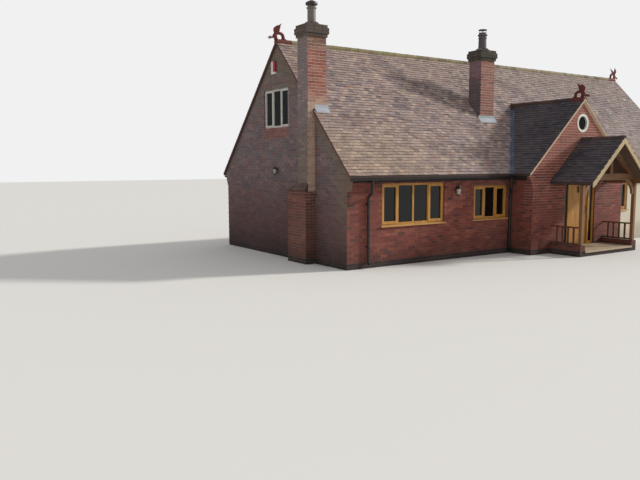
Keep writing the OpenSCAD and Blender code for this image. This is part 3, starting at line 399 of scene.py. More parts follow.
def stand_blocks(cells, origin, along, up, out, inner=(-0.044, -0.044), outer=(0.004, 0.004), jitter=0.0,
        seed=1):
    """Closed blocks on cells: a corner is origin + u along + v up + n out, with n from inner at the back to
    outer at the face, given for the lower and the upper edge. Jitter moves each block's face by a random
    amount."""
    origin, along, up, out = [np.asarray(v, float) for v in (origin, along, up, out)]
    push = np.random.default_rng(seed).normal(0, 1, len(cells)) * jitter
    u = cells[:, [0, 1, 3, 2]]
    v = cells[:, [4, 4, 5, 5]]
    ring = origin + u[:, :, None] * along + v[:, :, None] * up
    deep, face = np.repeat(inner, 2)[None, :], np.repeat(outer, 2)[None, :] + push[:, None]
    verts = np.concatenate([ring + deep[:, :, None] * out, ring + face[:, :, None] * out], axis=1)
    quads = np.array(BLOCK_FACES)
    if np.dot(np.cross(along, up), out) < 0:
        quads = quads[:, ::-1]
    return verts, quads[None] + 8 * np.arange(len(cells))[:, None, None]


def paint_cells(count, palette, spread, seed):
    """One colour a cell: a weighted pick from a palette (colours, weights), its brightness changed by a
    normal random factor."""
    colours, weights = palette
    rng = np.random.default_rng(seed)
    pick = rng.choice(len(colours), count, p=np.array(weights) / np.sum(weights))
    linear = np.array([srgb(*c)[:3] for c in colours])
    return np.clip(linear[pick] * (1 + rng.normal(0, spread, (count, 1))), 0.004, 1)


def tinted(paint, cells, tints):
    """Takes each block's colour towards others by its place. A tint is (mask, colour): the mask is a
    function of the block's middle (u, v), 0 keeps the block's own colour and 1 takes the tint's. Half of
    the block's own brightness is kept, so that neighbours still differ."""
    u, v = cells[:, :4].mean(axis=1), cells[:, 4:6].mean(axis=1)
    light = 0.5 + 0.5 * paint.mean(axis=1, keepdims=True) / paint.mean()
    for mask, colour in tints:
        amount = np.clip(mask(u, v), 0, 1)[:, None]
        paint = paint * (1 - amount) + np.array(srgb(*colour)[:3]) * light * amount
    return paint


def add_mesh(name, verts, faces, material, slot, body="house", paint=None, sharp=None):
    """A piece from vertices and faces. Paint is one colour a vertex, kept as the attribute 'paint'. With
    sharp, an angle in degrees, the piece is smooth except at edges that turn more."""
    mesh = bpy.data.meshes.new(name)
    mesh.from_pydata(verts, [], faces)
    if paint is not None:
        attribute = mesh.attributes.new("paint", "FLOAT_COLOR", "POINT")
        attribute.data.foreach_set("color", np.c_[paint, np.ones(len(paint))].astype(np.float32).ravel())
    mesh.materials.append(material)
    if sharp:
        mesh.polygons.foreach_set("use_smooth", [True] * len(mesh.polygons))
        mesh.set_sharp_from_angle(angle=np.radians(sharp))
    piece = place_object(name, mesh)
    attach(piece, body)
    print(name, len(mesh.polygons), "faces")
    return piece


def make_piece(name, parts, material, slot, body="house"):
    """One piece from parts (verts, quads, paint), a row a block. Paint is one colour a block, or None."""
    verts, faces, paints, base = [], [], [], 0
    for part_verts, part_faces, part_paint in parts:
        verts.append(part_verts.reshape(-1, 3))
        faces.append(part_faces.reshape(-1, 4) + base)
        if part_paint is not None:
            paints.append(np.repeat(part_paint, part_verts.shape[1], axis=0))
        base += len(verts[-1])
    paint = np.concatenate(paints) if paints else None
    verts, faces = np.concatenate(verts).tolist(), np.concatenate(faces).tolist()
    return add_mesh(name, verts, faces, material, slot, body, paint)

# %% [markdown]
# ## Brick and mortar
#
# The bricks are soft reds and browns in grey-buff mortar. Colour could come from a
# brick texture, but then bricks would be cut at random by every corner and window.
# Each block brings its own colour, and the material only adds what weather does:
# grit, stains, a grey bloom, damp near the ground.

# %% Brick and mortar finishes
def paint_of(tree):
    """The colour that a block brings."""
    return add(tree, "Attribute", {"attribute_name": "paint"}).outputs["Color"]


def weathered(tree, colour, stain, bloom, bloom_amount, foot_dark, fleck=(0.84, 1.15)):
    """Adds grit, streaks, patches and a damp foot to a colour. Gives that colour and a bump normal."""
    grit = use_group(tree, GRIT, Scale=150.0)
    streaks = use_group(tree, STREAKS, Low=0.52, High=0.80)["Mask"]
    patches = use_group(tree, PATCHES, Scale=0.55, Low=0.42, High=0.70)["Mask"]
    foot = use_group(tree, HEIGHT, Foot=0.02, Top=0.75)["Mask"]
    speckled = blend_colours(tree, 1.0, colour, ramp(tree, grit["Mask"], 0.3, 0.7, *fleck), how="MULTIPLY")
    stained = blend_colours(tree, streaks, speckled, stain, 0.35)
    bloomed = blend_colours(tree, patches, stained, bloom, bloom_amount)
    damp = blend_colours(tree, foot, bloomed, (52, 42, 38), foot_dark)
    return damp, bumped(tree, grit["Height"], 0.35, 0.004)


def make_brick():
    """Brick: the block's own paint, weathered."""
    material, tree = new_material("brick", 0.86)
    return surface(material, *weathered(tree, paint_of(tree), (66, 50, 44), (122, 104, 94), 0.16, 0.40))


def make_wall(name, outside, stain, low_colour=None, plastered=True, fleck=(0.84, 1.15), sooty=False):
    """A wall solid: mortar or render outside, with pale plaster behind its outer 120 mm. The low colour
    takes over in the lowest 2 m. A sooty one is dark with soot above 5.5 m, at the heads of the stacks,
    and its mortar on faces looking left is darker as painted shade."""
    material, tree = new_material(name, 0.9)
    base = outside
    if low_colour:
        base = blend_colours(tree, use_group(tree, HEIGHT, Foot=0.6, Top=2.9)["Mask"], base, low_colour)
    if sooty:
        base = blend_colours(tree, use_group(tree, HEIGHT, Foot=5.48, Top=5.60)["Mask"], (70, 62, 54), base)
        # painted shade: mortar on faces that look left (normal X below -0.5) is darker
        base = blend_colours(tree, calc(tree, "LESS_THAN", facing(tree)["X"], -0.5), base, (122, 110, 104))
    colour, normal = weathered(tree, base, stain, (150, 142, 128), 0.12, 0.35, fleck)
    if plastered:
        colour = blend_colours(tree, use_group(tree, INDOORS)["Mask"], colour, (176, 168, 156))
    return surface(material, colour, normal)


def dress(material, *names):
    """Puts a material on solids, in their own material slots, and hands it on."""
    for name in names:
        piece = nodes[name]
        if not piece.material_slots:
            piece.data.materials.append(material)
        for slot in piece.material_slots:
            slot.material = material
    return material


brick = make_brick()
# The main walls' mortar is darker than the real pale mortar: painted shade in the recessed joints.
dress(make_wall("mortar", (118, 90, 80), (78, 60, 54)), "front_wall_left", "back_wall", "wing_left_wall",
    "wing_right_wall")
dress(make_wall("gable_mortar", (132, 122, 120), (92, 82, 80), (112, 92, 88)), "left_gable_wall")
dress(make_wall("pale_mortar", (214, 190, 174), (140, 112, 100), (112, 84, 75)), "wing_gable_top",
    "wing_gable_left", "wing_gable_right")
dress(make_wall("stack_mortar", (196, 176, 160), (126, 108, 94), (100, 76, 68), plastered=False, sooty=True),
    "end_chimney", "front_chimney", "porch_base")
dress(make_wall("render", (215, 206, 187), (190, 180, 158), fleck=(0.95, 1.04)), "front_wall_right",
    "right_gable_wall")

# %% [markdown]
# ## Walls brick by brick
#
# The courses run round every corner at the same heights, and a corner shows a long
# and a short face in turn. The bricks are cut at the windows, the door and the stacks.
# The lowest courses are darker engineering bricks. A wall isn't one colour: the shaded
# gable is grey-brown with an olive bloom near its verge, red again low down, and its bricks
# carry a blue-violet cast as painted shade. Such a change could be a texture laid over the
# wall, but here it is a rule for each brick: the nearer its middle is to the place, the
# more of the second colour it takes.

# %% Facing bricks
FACING = ([(124, 62, 52), (116, 56, 47), (132, 68, 55), (108, 54, 48), (140, 76, 60), (94, 54, 50)],
    [30, 24, 20, 12, 8, 5])
# The gable's bricks: grey-brown, with a blue-violet cast added as painted shade.
MUTED = ([(120, 102, 102), (112, 96, 100), (128, 106, 104), (104, 90, 96), (124, 90, 86), (102, 94, 100)],
    [28, 24, 16, 12, 10, 10])
ENGINEERING = ([(54, 47, 49), (62, 52, 52), (47, 43, 46)], [4, 3, 3])
OLIVE = (114, 98, 80)
PLINTH = 2 * COURSE
JOINT = 0.010
CORNER = 0.002
TO_FRONT = (1, 0, 0), (0, -1, 0)
TO_RIGHT = (0, 1, 0), (1, 0, 0)
TO_BACK = (-1, 0, 0), (0, 1, 0)
TO_LEFT = (0, -1, 0), (-1, 0, 0)
KNEELER = 25
KNEELER_STEP = 0.03
KNEELER_WIDTH = 0.11


def smooth(value, start, stop):
    """Smooth step: 0 at start, 1 at stop, s^2 (3 - 2 s) between, where s is the place between them."""
    s = np.clip((value - start) / (stop - start), 0, 1)
    return s * s * (3 - 2 * s)


def inside(value, start, stop, soft):
    """1 between start and stop, falling to 0 over a soft width on both sides."""
    return smooth(value, start - soft, start) * (1 - smooth(value, stop, stop + soft))


def everywhere(amount):
    """The mask of a tint that is the same all over a face."""
    return lambda u, v: amount + 0 * u


def wall_paint(cells, palette, seed, tints):
    """Facing colours and the face's tints, with engineering bricks in the plinth courses."""
    paint = tinted(paint_cells(len(cells), palette, 0.07, seed), cells, tints)
    dark = paint_cells(len(cells), ENGINEERING, 0.08, seed + 50)
    middle = cells[:, 4:6].mean(axis=1)
    return np.where((middle < PLINTH)[:, None], dark, paint)


def brick_face(side, origin, left, right, start, stop, seed, holes=(), palette=FACING, tints=(), first=0.0,
        joint=JOINT, fill=True):
    """Bricks on an upright face: courses from start to stop, standing 4 mm out of the mortar. A side is the
    way that u runs and the way out of the wall. Where a hole ends inside a course, the rest of that course
    is filled with cut bricks."""
    along, out = side
    sets = [lay_courses(left, right, start, stop, COURSE, BRICK, joint, holes, first)]
    for u0, u1, v0, v1 in holes if fill else ():
        over = min(np.ceil(v1 / COURSE - 1e-6) * COURSE - JOINT / 2, stop)
        under = max(np.floor(v0 / COURSE + 1e-6) * COURSE + JOINT / 2, start)
        for a, b in ((v1 - 0.001, over), (under, v0 + 0.001)):
            if b - a > 0.012:
                sets.append(lay_courses(u0, u1, a, b, COURSE, BRICK, JOINT, (), first))
    cells = np.concatenate(sets)
    verts, quads = stand_blocks(cells, origin, along, (0, 0, 1), out, jitter=0.0004, seed=seed)
    return verts, quads, wall_paint(cells, palette, seed, tints)


def wall_holes(boxes, start, turn=1):
    """Holes in a wall's own u from (x0, x1, z0, z1): u = turn (x - start), opened by 1 mm so that brick
    ends line the reveals."""
    holes = []
    for x0, x1, z0, z1 in boxes:
        u0, u1 = sorted([turn * (x0 - start), turn * (x1 - start)])
        holes.append((u0 + 0.001, u1 - 0.001, z0, z1))
    return holes


def kneeler_reach(z):
    """How far the corbelled shoulder stands out at a height: 30 mm more each course, four times."""
    return KNEELER_STEP * np.clip(np.floor((z - KNEELER * COURSE) / COURSE) + 1, 0, 4)


def gable_half(half, ridge, slope, drop):
    """Half the width of a gable at a height: the wall and its shoulder, or the roof's underside if that is
    less."""
    return lambda z: float(min(half + kneeler_reach(z), (ridge - drop - z) / slope - 0.006))


# %% Front and back walls
SILL = 0.975
AIR_Z = (0.08, 0.145)
SHOULDER_TOP = 2.255
front_air = [(-6.84, -6.625, *AIR_Z), (-4.725, -4.51, *AIR_Z)]
front_windows = [(LEFT + 1.060, LEFT + 3.160, SILL, 2.045), (LEFT + 4.25, LEFT + 5.58, SILL, 1.925)]
back_windows = front_windows + [(-b, -a, c, d) for a, b, c, d in front_windows]
front_parts = [brick_face(TO_FRONT, (LEFT, FRONT, 0), -CORNER, WING_LEFT - LEFT, 0.0, SOFFIT_Z, 11,
    wall_holes(front_windows + front_air, LEFT))]
corner_tint = [(everywhere(0.75), (126, 108, 90))]
for i, seed in enumerate((30, 31, 32, 33, 36)):
    row = KNEELER + i
    reach = float(kneeler_reach((row + 0.5) * COURSE))
    top = (row + 1) * COURSE if i < 4 else SHOULDER_TOP
    front_parts.append(brick_face(TO_FRONT, (LEFT, FRONT - reach, 0), -CORNER, KNEELER_WIDTH, row * COURSE,
        top, seed, tints=corner_tint))
make_piece("front_bricks", front_parts, brick, "brick")
back_part = brick_face(TO_BACK, (RIGHT, BACK, 0), 0.012, RIGHT - LEFT + CORNER, 0.0, SOFFIT_Z, 12,
    wall_holes(back_windows, RIGHT, -1))
make_piece("back_bricks", [back_part], brick, "brick")

# %% Left gable
gable_window = (-0.789, 0.529, 3.51, 4.55)
gable_air = [(-0.945, -0.73, *AIR_Z), (2.35, 2.565, *AIR_Z)]
STACK_FRONT, STACK_BACK, BASE_BACK, BASE_TOP = FRONT + 1.36, FRONT + 1.82, FRONT + 2.22, 1.84
main_half = gable_half(-FRONT, RIDGE_Z, SLOPE, 0.060)
gable_holes = [gable_window, (-BASE_BACK, -STACK_FRONT, -1.0, BASE_TOP),
    (-STACK_BACK, -STACK_FRONT, BASE_TOP, 6.0)]


def verge_distance(u, v):
    """How far a brick of the gable stands from the front verge or the front corner."""
    return np.minimum(-FRONT, (RIDGE_Z - v) / SLOPE) - u


window_left, window_right = gable_window[:2]
gable_tints = [
    (lambda u, v: 0.72 * (1 - smooth(v, 0.9, 2.7)), (92, 56, 56)),
    (lambda u, v: 0.60 * (1 - smooth(v, 0.2, 1.2)), (62, 44, 43)),
    (lambda u, v: 0.75 * smooth(v, 3.9, 5.0), (116, 104, 94)),
    (lambda u, v: 0.70 * (1 - smooth(verge_distance(u, v), 0.25, 0.75)) * smooth(v, 0.4, 1.8), OLIVE),
    (lambda u, v: 0.60 * inside(u, window_left, window_right, 0.1) * inside(v, 3.22, 3.5, 0.05),
        (140, 80, 68)),
    (lambda u, v: 0.90 * inside(u, window_left - 0.12, window_right + 0.12, 0.02)
        * inside(v, 4.70, 4.74, 0.02), (116, 58, 52))]
gable_part = brick_face(TO_LEFT, (LEFT, 0, 0), lambda z: -main_half(z), main_half, 0.0, RIDGE_Z, 13,
    gable_holes + gable_air, MUTED, gable_tints)
make_piece("gable_bricks", [gable_part], brick, "brick")

# %% Wing walls
WING_HALF = 2.1
OVER_DOOR = 2.25
ROUND_RADIUS = 0.24
wing_depth = FRONT - WING_FRONT
wing_half = gable_half(WING_MID - WING_LEFT, WING_RIDGE_Z, WING_SLOPE, 0.058)
door_box = low("door_frame")[0], high("door_frame")[0], -1.0, high("door_frame")[2]
ROUND_Z = (low("round_window_frame")[2] + high("round_window_frame")[2]) / 2
first_row, last_row = np.floor((ROUND_Z - ROUND_RADIUS) / COURSE), np.ceil((ROUND_Z + ROUND_RADIUS) / COURSE)
round_holes = []
for row in np.arange(first_row, last_row) * COURSE:
    off = abs(row + COURSE / 2 - ROUND_Z)
    if off < ROUND_RADIUS:
        chord = float(np.sqrt(0.245 ** 2 - off ** 2))
        round_holes.append((-chord, chord, row, row + COURSE))
# painted sunlight: the upper wing gable is tinted a brighter pinkish red, as if lit by the sun
painted_sunlight_tint = [(lambda u, v: 0.75 * smooth(v, 2.0, 3.0), (156, 92, 78))]
wing_parts = [
    brick_face(TO_LEFT, (WING_LEFT, FRONT, 0), 0.0, wing_depth + CORNER, 0.0, SOFFIT_Z, 14),
    brick_face(TO_RIGHT, (WING_RIGHT, WING_FRONT, 0), -CORNER, wing_depth, 0.0, SOFFIT_Z, 15),
    brick_face(TO_FRONT, (WING_MID, WING_FRONT, 0), lambda z: -wing_half(z) - CORNER,
        lambda z: wing_half(z) + CORNER, 0.0, OVER_DOOR, 16, wall_holes([door_box], WING_MID)),
    brick_face(TO_FRONT, (WING_MID, WING_FRONT, 0), lambda z: -wing_half(z), wing_half, OVER_DOOR,
        WING_RIDGE_Z, 17, round_holes, tints=painted_sunlight_tint, fill=False)]
for sign, side, start in ((-1, TO_LEFT, WING_FRONT + KNEELER_WIDTH), (1, TO_RIGHT, WING_FRONT)):
    for i in range(5):
        reach = float(kneeler_reach((KNEELER + i + 0.5) * COURSE))
        top = (KNEELER + i + 1) * COURSE
        origin = (WING_MID + sign * (WING_HALF + reach), start, 0)
        wing_parts.append(brick_face(side, origin, 0.0, KNEELER_WIDTH, top - COURSE, min(top, EAVES_Z),
            40 + i))
make_piece("wing_bricks", wing_parts, brick, "brick")

# %% Chimneys
STACK_JOINT = 0.014
HEAD_SHARE = [4, 3, 3, 2]
END_HEAD = ([(84, 72, 66), (74, 64, 58), (90, 72, 64), (78, 72, 54)], HEAD_SHARE)
FRONT_HEAD = ([(66, 62, 56), (58, 56, 50), (72, 64, 58), (62, 62, 44)], HEAD_SHARE)


def brick_shaft(x0, x1, y0, y1, z0, z1, seed, tints=((), (), (), ())):
    """Four brick faces of a shaft, front, right, back and left, each run past one corner so that the joints
    alternate. Each face has its own tints."""
    faces = [(TO_FRONT, (x0, y0, 0), x1 - x0), (TO_RIGHT, (x1, y0, 0), y1 - y0),
        (TO_BACK, (x1, y1, 0), x1 - x0), (TO_LEFT, (x0, y1, 0), y1 - y0)]
    return [brick_face(side, origin, -CORNER, size + CORNER, z0, z1, seed + i, tints=tints[i],
        first=BRICK / 2 * (i % 2), joint=STACK_JOINT) for i, (side, origin, size) in enumerate(faces)]


def brick_head(x0, x1, y0, y1, z, seed, palette):
    """The oversailing head: rings of one course, 28 mm, 56 mm, 56 mm and 28 mm out, dark with soot and
    moss."""
    parts = []
    for i, reach in enumerate((0.028, 0.056, 0.056, 0.028)):
        ring = brick_shaft(x0 - reach, x1 + reach, y0 - reach, y1 + reach, 0.0, COURSE, seed + 5 * i)
        for verts, quads, paint in ring:
            sooty = paint_cells(len(verts), palette, 0.1, seed + 5 * i)
            parts.append((verts + np.array([0, 0, z + i * COURSE]), quads, sooty))
    return parts


end_stack = LEFT - 0.21, LEFT + 0.34, STACK_FRONT, STACK_BACK
end_foot_z, end_head_z = 1.875, 5.64
front_stack = LEFT + 5.83, LEFT + 6.39, FRONT + 1.31, FRONT + 1.78
front_foot_z, front_head_z = 3.525, 5.55
# painted shade: the front face of the end stack's base is tinted a darker red-brown
painted_shade_base = [(everywhere(0.6), (84, 50, 44))]
warm_base = [(everywhere(0.5), (116, 70, 60))]
# End stack: the front and right faces are tinted a brighter orange-red as painted sunlight, with scattered
# paler bricks, browner just under the head and paler buff low down; the back and left faces are tinted
# purple-grey, partly as painted shade and partly as weathering, with olive lichen low down.
painted_light_face = [(everywhere(0.70), (152, 88, 75)),
    (lambda u, v: 0.35 * (np.sin(29 * u + 67 * v) > 0.4), (176, 138, 122)),
    (lambda u, v: 0.7 * smooth(v, 5.2, 5.5), (118, 94, 80)),
    (lambda u, v: 0.85 * (1 - smooth(v, 3.9, 4.4)), (188, 160, 142))]
painted_shade_face = [(everywhere(0.90), (136, 124, 125)), (lambda u, v: 0.6 * (1 - smooth(v, 2.6, 4.4)), OLIVE)]
# Front stack: the back and left faces are tinted dark grey-violet as painted shade, with a lighter purple
# band near the top; the front and right faces keep a warm red.
front_stack_painted_shade = [(lambda u, v: 0.9 * smooth(v, 5.0, 5.15), (134, 108, 122)),
    (lambda u, v: 0.85 * (1 - smooth(v, 4.95, 5.15)), (96, 90, 98))]
red_face = [(everywhere(0.70), (150, 100, 90)),
    (lambda u, v: 0.3 * (np.sin(31 * u + 71 * v) > 0.3), (168, 134, 122))]
end_base = brick_shaft(LEFT - 0.29, LEFT, STACK_FRONT, BASE_BACK, 0.0, BASE_TOP, 60,
    (painted_shade_base, (), (), warm_base))
end_shaft = brick_shaft(*end_stack, end_foot_z, end_head_z, 70,
    (painted_light_face, painted_light_face, painted_shade_face, painted_shade_face))
end_head = brick_head(*end_stack, end_head_z, 80, END_HEAD)
make_piece("end_chimney_bricks", end_base + end_shaft + end_head, brick, "brick")
front_shaft = brick_shaft(*front_stack, front_foot_z, front_head_z, 110,
    (red_face, red_face, front_stack_painted_shade, front_stack_painted_shade))
front_head = brick_head(*front_stack, front_head_z, 120, FRONT_HEAD)
make_piece("front_chimney_bricks", front_shaft + front_head, brick, "brick")

# %% Porch walls
porch_left, porch_front = low("porch_base")[:2]
porch_right, porch_back, porch_top = high("porch_base")
step_left, step_right = low("porch_step")[0], high("porch_step")[0]
step_foot, deck = low("porch_step")[2], high("porch_step")[2]
depth = porch_back - porch_front
wall = step_left - porch_left
porch_faces = [
    (TO_LEFT, (porch_left, porch_back, 0), 0.0, depth + CORNER, 0.0, porch_top),
    (TO_RIGHT, (porch_right, porch_front, 0), -CORNER, depth, 0.0, porch_top),
    (TO_FRONT, (porch_left, porch_front, 0), -CORNER, wall, 0.0, porch_top),
    (TO_FRONT, (step_right, porch_front, 0), 0.0, wall + CORNER, 0.0, porch_top),
    (TO_FRONT, (step_left, porch_front, 0), 0.0, step_right - step_left, 0.0, step_foot),
    (TO_RIGHT, (step_left, porch_front, 0), -CORNER, depth, deck, porch_top),
    (TO_LEFT, (step_right, porch_back, 0), 0.0, depth + CORNER, deck, porch_top)]
make_piece("porch_bricks", [brick_face(*face, 150 + i) for i, face in enumerate(porch_faces)], brick, "brick")

# %% [markdown]
# ## Plain tiles
#
# A plain tile is 165 mm wide and shows 100 mm, and every second course is shifted by
# half a tile. Its nose stands up a little from the course below and throws a thin
# shadow, which is what gives the roof its fine level lines; painted shade on the nose
# faces makes them stronger. The tiles are cut at the valleys and round the stacks. The
# wing and the porch have darker tiles, and their left slopes are darker still as painted shade.

# %% Roof tiles
SIDE_SHARE = [26, 24, 20, 14, 16]
MAIN_TILES = ([(164, 143, 138), (153, 133, 130), (143, 127, 127), (176, 156, 142), (124, 110, 112),
    (159, 128, 119)], [28, 24, 18, 14, 9, 7])
# The left slopes of the wing and the porch take this much darker palette as painted shade.
PAINTED_SHADE_TILES = ([(82, 76, 84), (77, 72, 81), (74, 70, 79), (88, 79, 80), (69, 65, 74)], SIDE_SHARE)
SUNNY_TILES = ([(134, 116, 112), (124, 108, 106), (114, 102, 102), (144, 126, 114), (102, 92, 94)],
    SIDE_SHARE)
TILE_WIDTH = 0.165
TILE_JOINT = 0.005
TILE_LAP = 0.008


def make_tile():
    """Clay tile: the tile's own paint under grit, lichen spots and soft dark patches. The nose faces, which
    look down the slope, are darkened as painted shade, standing for the thin shadow under each nose."""
    material, tree = new_material("roof_tile", 0.82)
    colour, normal = weathered(tree, paint_of(tree), (78, 66, 64), (134, 124, 118), 0.22, 0.0)
    dots = add(tree, "TexVoronoi", Vector=coordinates(tree), Scale=16.0).outputs["Distance"]
    spots = ramp(tree, dots, 0.08, 0.18, 1.0, 0.0, soft=True)
    where = use_group(tree, PATCHES, Scale=1.3, Low=0.54, High=0.74)["Mask"]
    spotted = blend_colours(tree, spots, colour, (184, 178, 162), where)
    # painted shade: faces that look down the slope are darkened towards near-black, for the shadow under each
    # nose
    nose = ramp(tree, facing(tree)["Z"], -0.35, -0.15, 0.78, 0.0)
    return surface(material, blend_colours(tree, nose, spotted, (44, 36, 36)), normal)


def make_tile_bed():
    """The slab under the tiles: dark red tile edges at the main verges, pale mortar at the wing's verge,
    dark boards on its underside, dark clay elsewhere."""
    material, tree = new_material("tile_bed", 0.9)
    look, place = facing(tree), split(tree, coordinates(tree))
    grit = use_group(tree, GRIT, Scale=90.0)
    clay = blend_colours(tree, grit["Mask"], (58, 46, 44), (84, 66, 60))
    boarded = blend_colours(tree, calc(tree, "LESS_THAN", look["Z"], -0.2), clay, (88, 70, 56))
    sideways = calc(tree, "GREATER_THAN", calc(tree, "ABSOLUTE", look["X"]), 0.9)
    at_end = calc(tree, "GREATER_THAN", calc(tree, "ABSOLUTE", place["X"]), float(RIGHT) - 0.5)
    edged = blend_colours(tree, sideways, boarded, (98, 62, 56), at_end)
    ahead = calc(tree, "LESS_THAN", look["Y"], -0.9)
    near = calc(tree, "LESS_THAN", place["Y"], float(FRONT) - 0.5)
    colour = blend_colours(tree, ahead, edged, (196, 170, 144), near)
    return surface(material, colour, bumped(tree, grit["Height"], 0.3, 0.004))


def slope_tiles(place, left, right, start, stop, gauge, end, seed, palette=MAIN_TILES, holes=(), first=0.0,
        tints=()):
    """Tiles of the courses from start to stop on a slope (origin, along, up, out): each cell is a wedge, 17
    mm high at its nose and 5 mm at its upper edge, reaching 8 mm under the next course. Random lift and a
    slightly uneven nose line keep it from looking stamped."""
    cells = lay_courses(left, right, start, stop, gauge, TILE_WIDTH, TILE_JOINT, holes, first, least=0.03)
    middle = cells.copy()
    cells[:, 4] += np.random.default_rng(seed).normal(0, 0.0015, len(cells))
    cells[:, 5] = np.minimum(cells[:, 5] + TILE_LAP, end)
    verts, quads = stand_blocks(cells, *place, (-0.002, -0.006), (0.017, 0.005), 0.0020, seed)
    return verts, quads, tinted(paint_cells(len(cells), palette, 0.08, seed), middle, tints)


ROWS = 49
tilt = np.arctan(SLOPE)
cos_main, sin_main = np.cos(tilt), np.sin(tilt)
main_length = -EAVES_Y / cos_main
gauge = main_length / ROWS
roof_left, roof_right = LEFT - VERGE, RIGHT + VERGE


def valley_x(v, sign, clear=0.085):
    """Where the main tiles stop at the wing: the valley line climbs at both slopes, and they stop clear of
    it."""
    rise = v * sin_main
    return WING_MID + sign * ((WING_RIDGE_Z - EAVES_Z - rise) / WING_SLOPE + clear)


def mottle(u, v):
    """Soft blotches of about a metre and a half: sin(2.1 u + 1.3 sin 1.7 v) sin(1.9 v + 0.8 u)."""
    return np.sin(2.1 * u + 1.3 * np.sin(1.7 * v)) * np.sin(1.9 * v + 0.8 * u)


def plan_hole(x0, x1, y0, y1):
    """A stack's footprint as a hole in the front slope."""
    return (x0, x1, (y0 - EAVES_Y) / cos_main - 0.02, (y1 - EAVES_Y) / cos_main + 0.02)


roof_tile = make_tile()
dress(make_tile_bed(), "main_roof_front", "main_roof_back", "wing_roof_left", "wing_roof_right",
    "porch_roof_left", "porch_roof_right", "chimney_offset_tiles")
stack_holes = [plan_hole(LEFT - 0.25, *end_stack[1:]), plan_hole(*front_stack)]
split_row = int(np.ceil((WING_RIDGE_Z - EAVES_Z) / sin_main / gauge)) * gauge
front_place = (0, EAVES_Y, EAVES_Z), (1, 0, 0), (0, cos_main, sin_main), (0, -sin_main, cos_main)
back_place = (0, -EAVES_Y, EAVES_Z), (-1, 0, 0), (0, -cos_main, sin_main), (0, sin_main, cos_main)
front_tints = [
    (lambda u, v: 0.45 * (1 - smooth(u, -6.5, -3.0)) * (1 - smooth(v, 0.6, 2.6)), (166, 144, 118)),
    (lambda u, v: 0.40 * smooth(u, -1.5, 3.5), (144, 134, 132)),
    (lambda u, v: 0.30 * smooth(v, 3.2, 4.4), (162, 142, 130)),
    (lambda u, v: 0.35 * smooth(mottle(u, v), 0.45, 0.95), (104, 90, 94))]
front_fields = [(roof_left, lambda v: valley_x(v, -1), 0.0, split_row),
    (lambda v: valley_x(v, 1), roof_right, 0.0, split_row), (roof_left, roof_right, split_row, main_length)]
front_tiles = [slope_tiles(front_place, *field, gauge, main_length, 201 + i, holes=stack_holes,
    first=roof_left, tints=front_tints) for i, field in enumerate(front_fields)]
make_piece("front_roof_tiles", front_tiles, roof_tile, "roof_tile")
back_tiles = slope_tiles(back_place, roof_left, roof_right, 0.0, main_length, gauge, main_length, 204,
    first=roof_left)
make_piece("back_roof_tiles", [back_tiles], roof_tile, "roof_tile")

# %% Wing and porch tiles
PORCH_EAVES_Z = 2.02
porch_low, porch_high = low("porch_roof_left"), high("porch_roof_left")
porch_run = WING_MID - porch_low[0]
porch_slope = (porch_high[2] - PORCH_EAVES_Z) / porch_run


def wing_back(v):
    """How far back a wing course runs, measured from the wing's front verge, stopping clear of the valley."""
    return (EAVES_Y + v * np.sin(np.arctan(WING_SLOPE)) / SLOPE) - WING_EAVES_FRONT - 0.095


def side_slopes(run, slope, verge_y, eaves_z, left, right, rows, seed):
    """Tiles of two slopes that meet over the wing's middle: the left one gets a dark palette of painted
    shade, the right one the plainer palette for the sunlit side. Their u runs back from the front verge."""
    cos, sin = np.cos(np.arctan(slope)), np.sin(np.arctan(slope))
    length = run / cos
    parts = []
    for sign, palette in ((-1, PAINTED_SHADE_TILES), (1, SUNNY_TILES)):
        corner = WING_MID + sign * run, verge_y, eaves_z
        place = corner, (0, 1, 0), (-sign * cos, 0, sin), (sign * sin, 0, cos)
        parts.append(slope_tiles(place, left, right, 0.0, length, length / rows, length, seed + sign,
            palette))
    return parts


wing_tiles = side_slopes(WING_MID - WING_EAVES_X, WING_SLOPE, WING_EAVES_FRONT, EAVES_Z, 0.0, wing_back,
    31, 210)
make_piece("wing_roof_tiles", wing_tiles, roof_tile, "roof_tile")
porch_tiles = side_slopes(porch_run, porch_slope, porch_low[1], PORCH_EAVES_Z, -0.03,
    porch_high[1] - porch_low[1], 18, 220)
make_piece("porch_roof_tiles", porch_tiles, roof_tile, "roof_tile")

# %% [markdown]
# ## Mortar at the wing's verge
#
# The verge tiles of the wing lie on a thick fillet of pale mortar, struck off at a
# slope down to the bricks. It could be part of the roof solid, but it is a smear a few
# centimetres thick, so one bent bar follows both slopes and meets itself at the ridge.

# %% Verge mortar
def skin(rings, around):
    """Faces of a closed bar: quads between neighbouring rings of points, and one polygon at each end."""
    index = np.arange(rings * around).reshape(rings, around)
    turned = np.roll(index, -1, axis=1)
    sides = np.stack([index[:-1], index[1:], turned[1:], turned[:-1]], axis=-1).reshape(-1, 4)
    return sides.tolist() + [index[0].tolist(), index[-1][::-1].tolist()]


def bent_bar(stations, section):
    """A closed bar through stations (x, z) in rising x: the section's points (y, dz), clockwise as seen
    from +X, are set at every station."""
    rings = np.array([[[x, y, z + dz] for y, dz in section] for x, z in stations])
    return rings.reshape(-1, 3).tolist(), skin(len(stations), len(section))


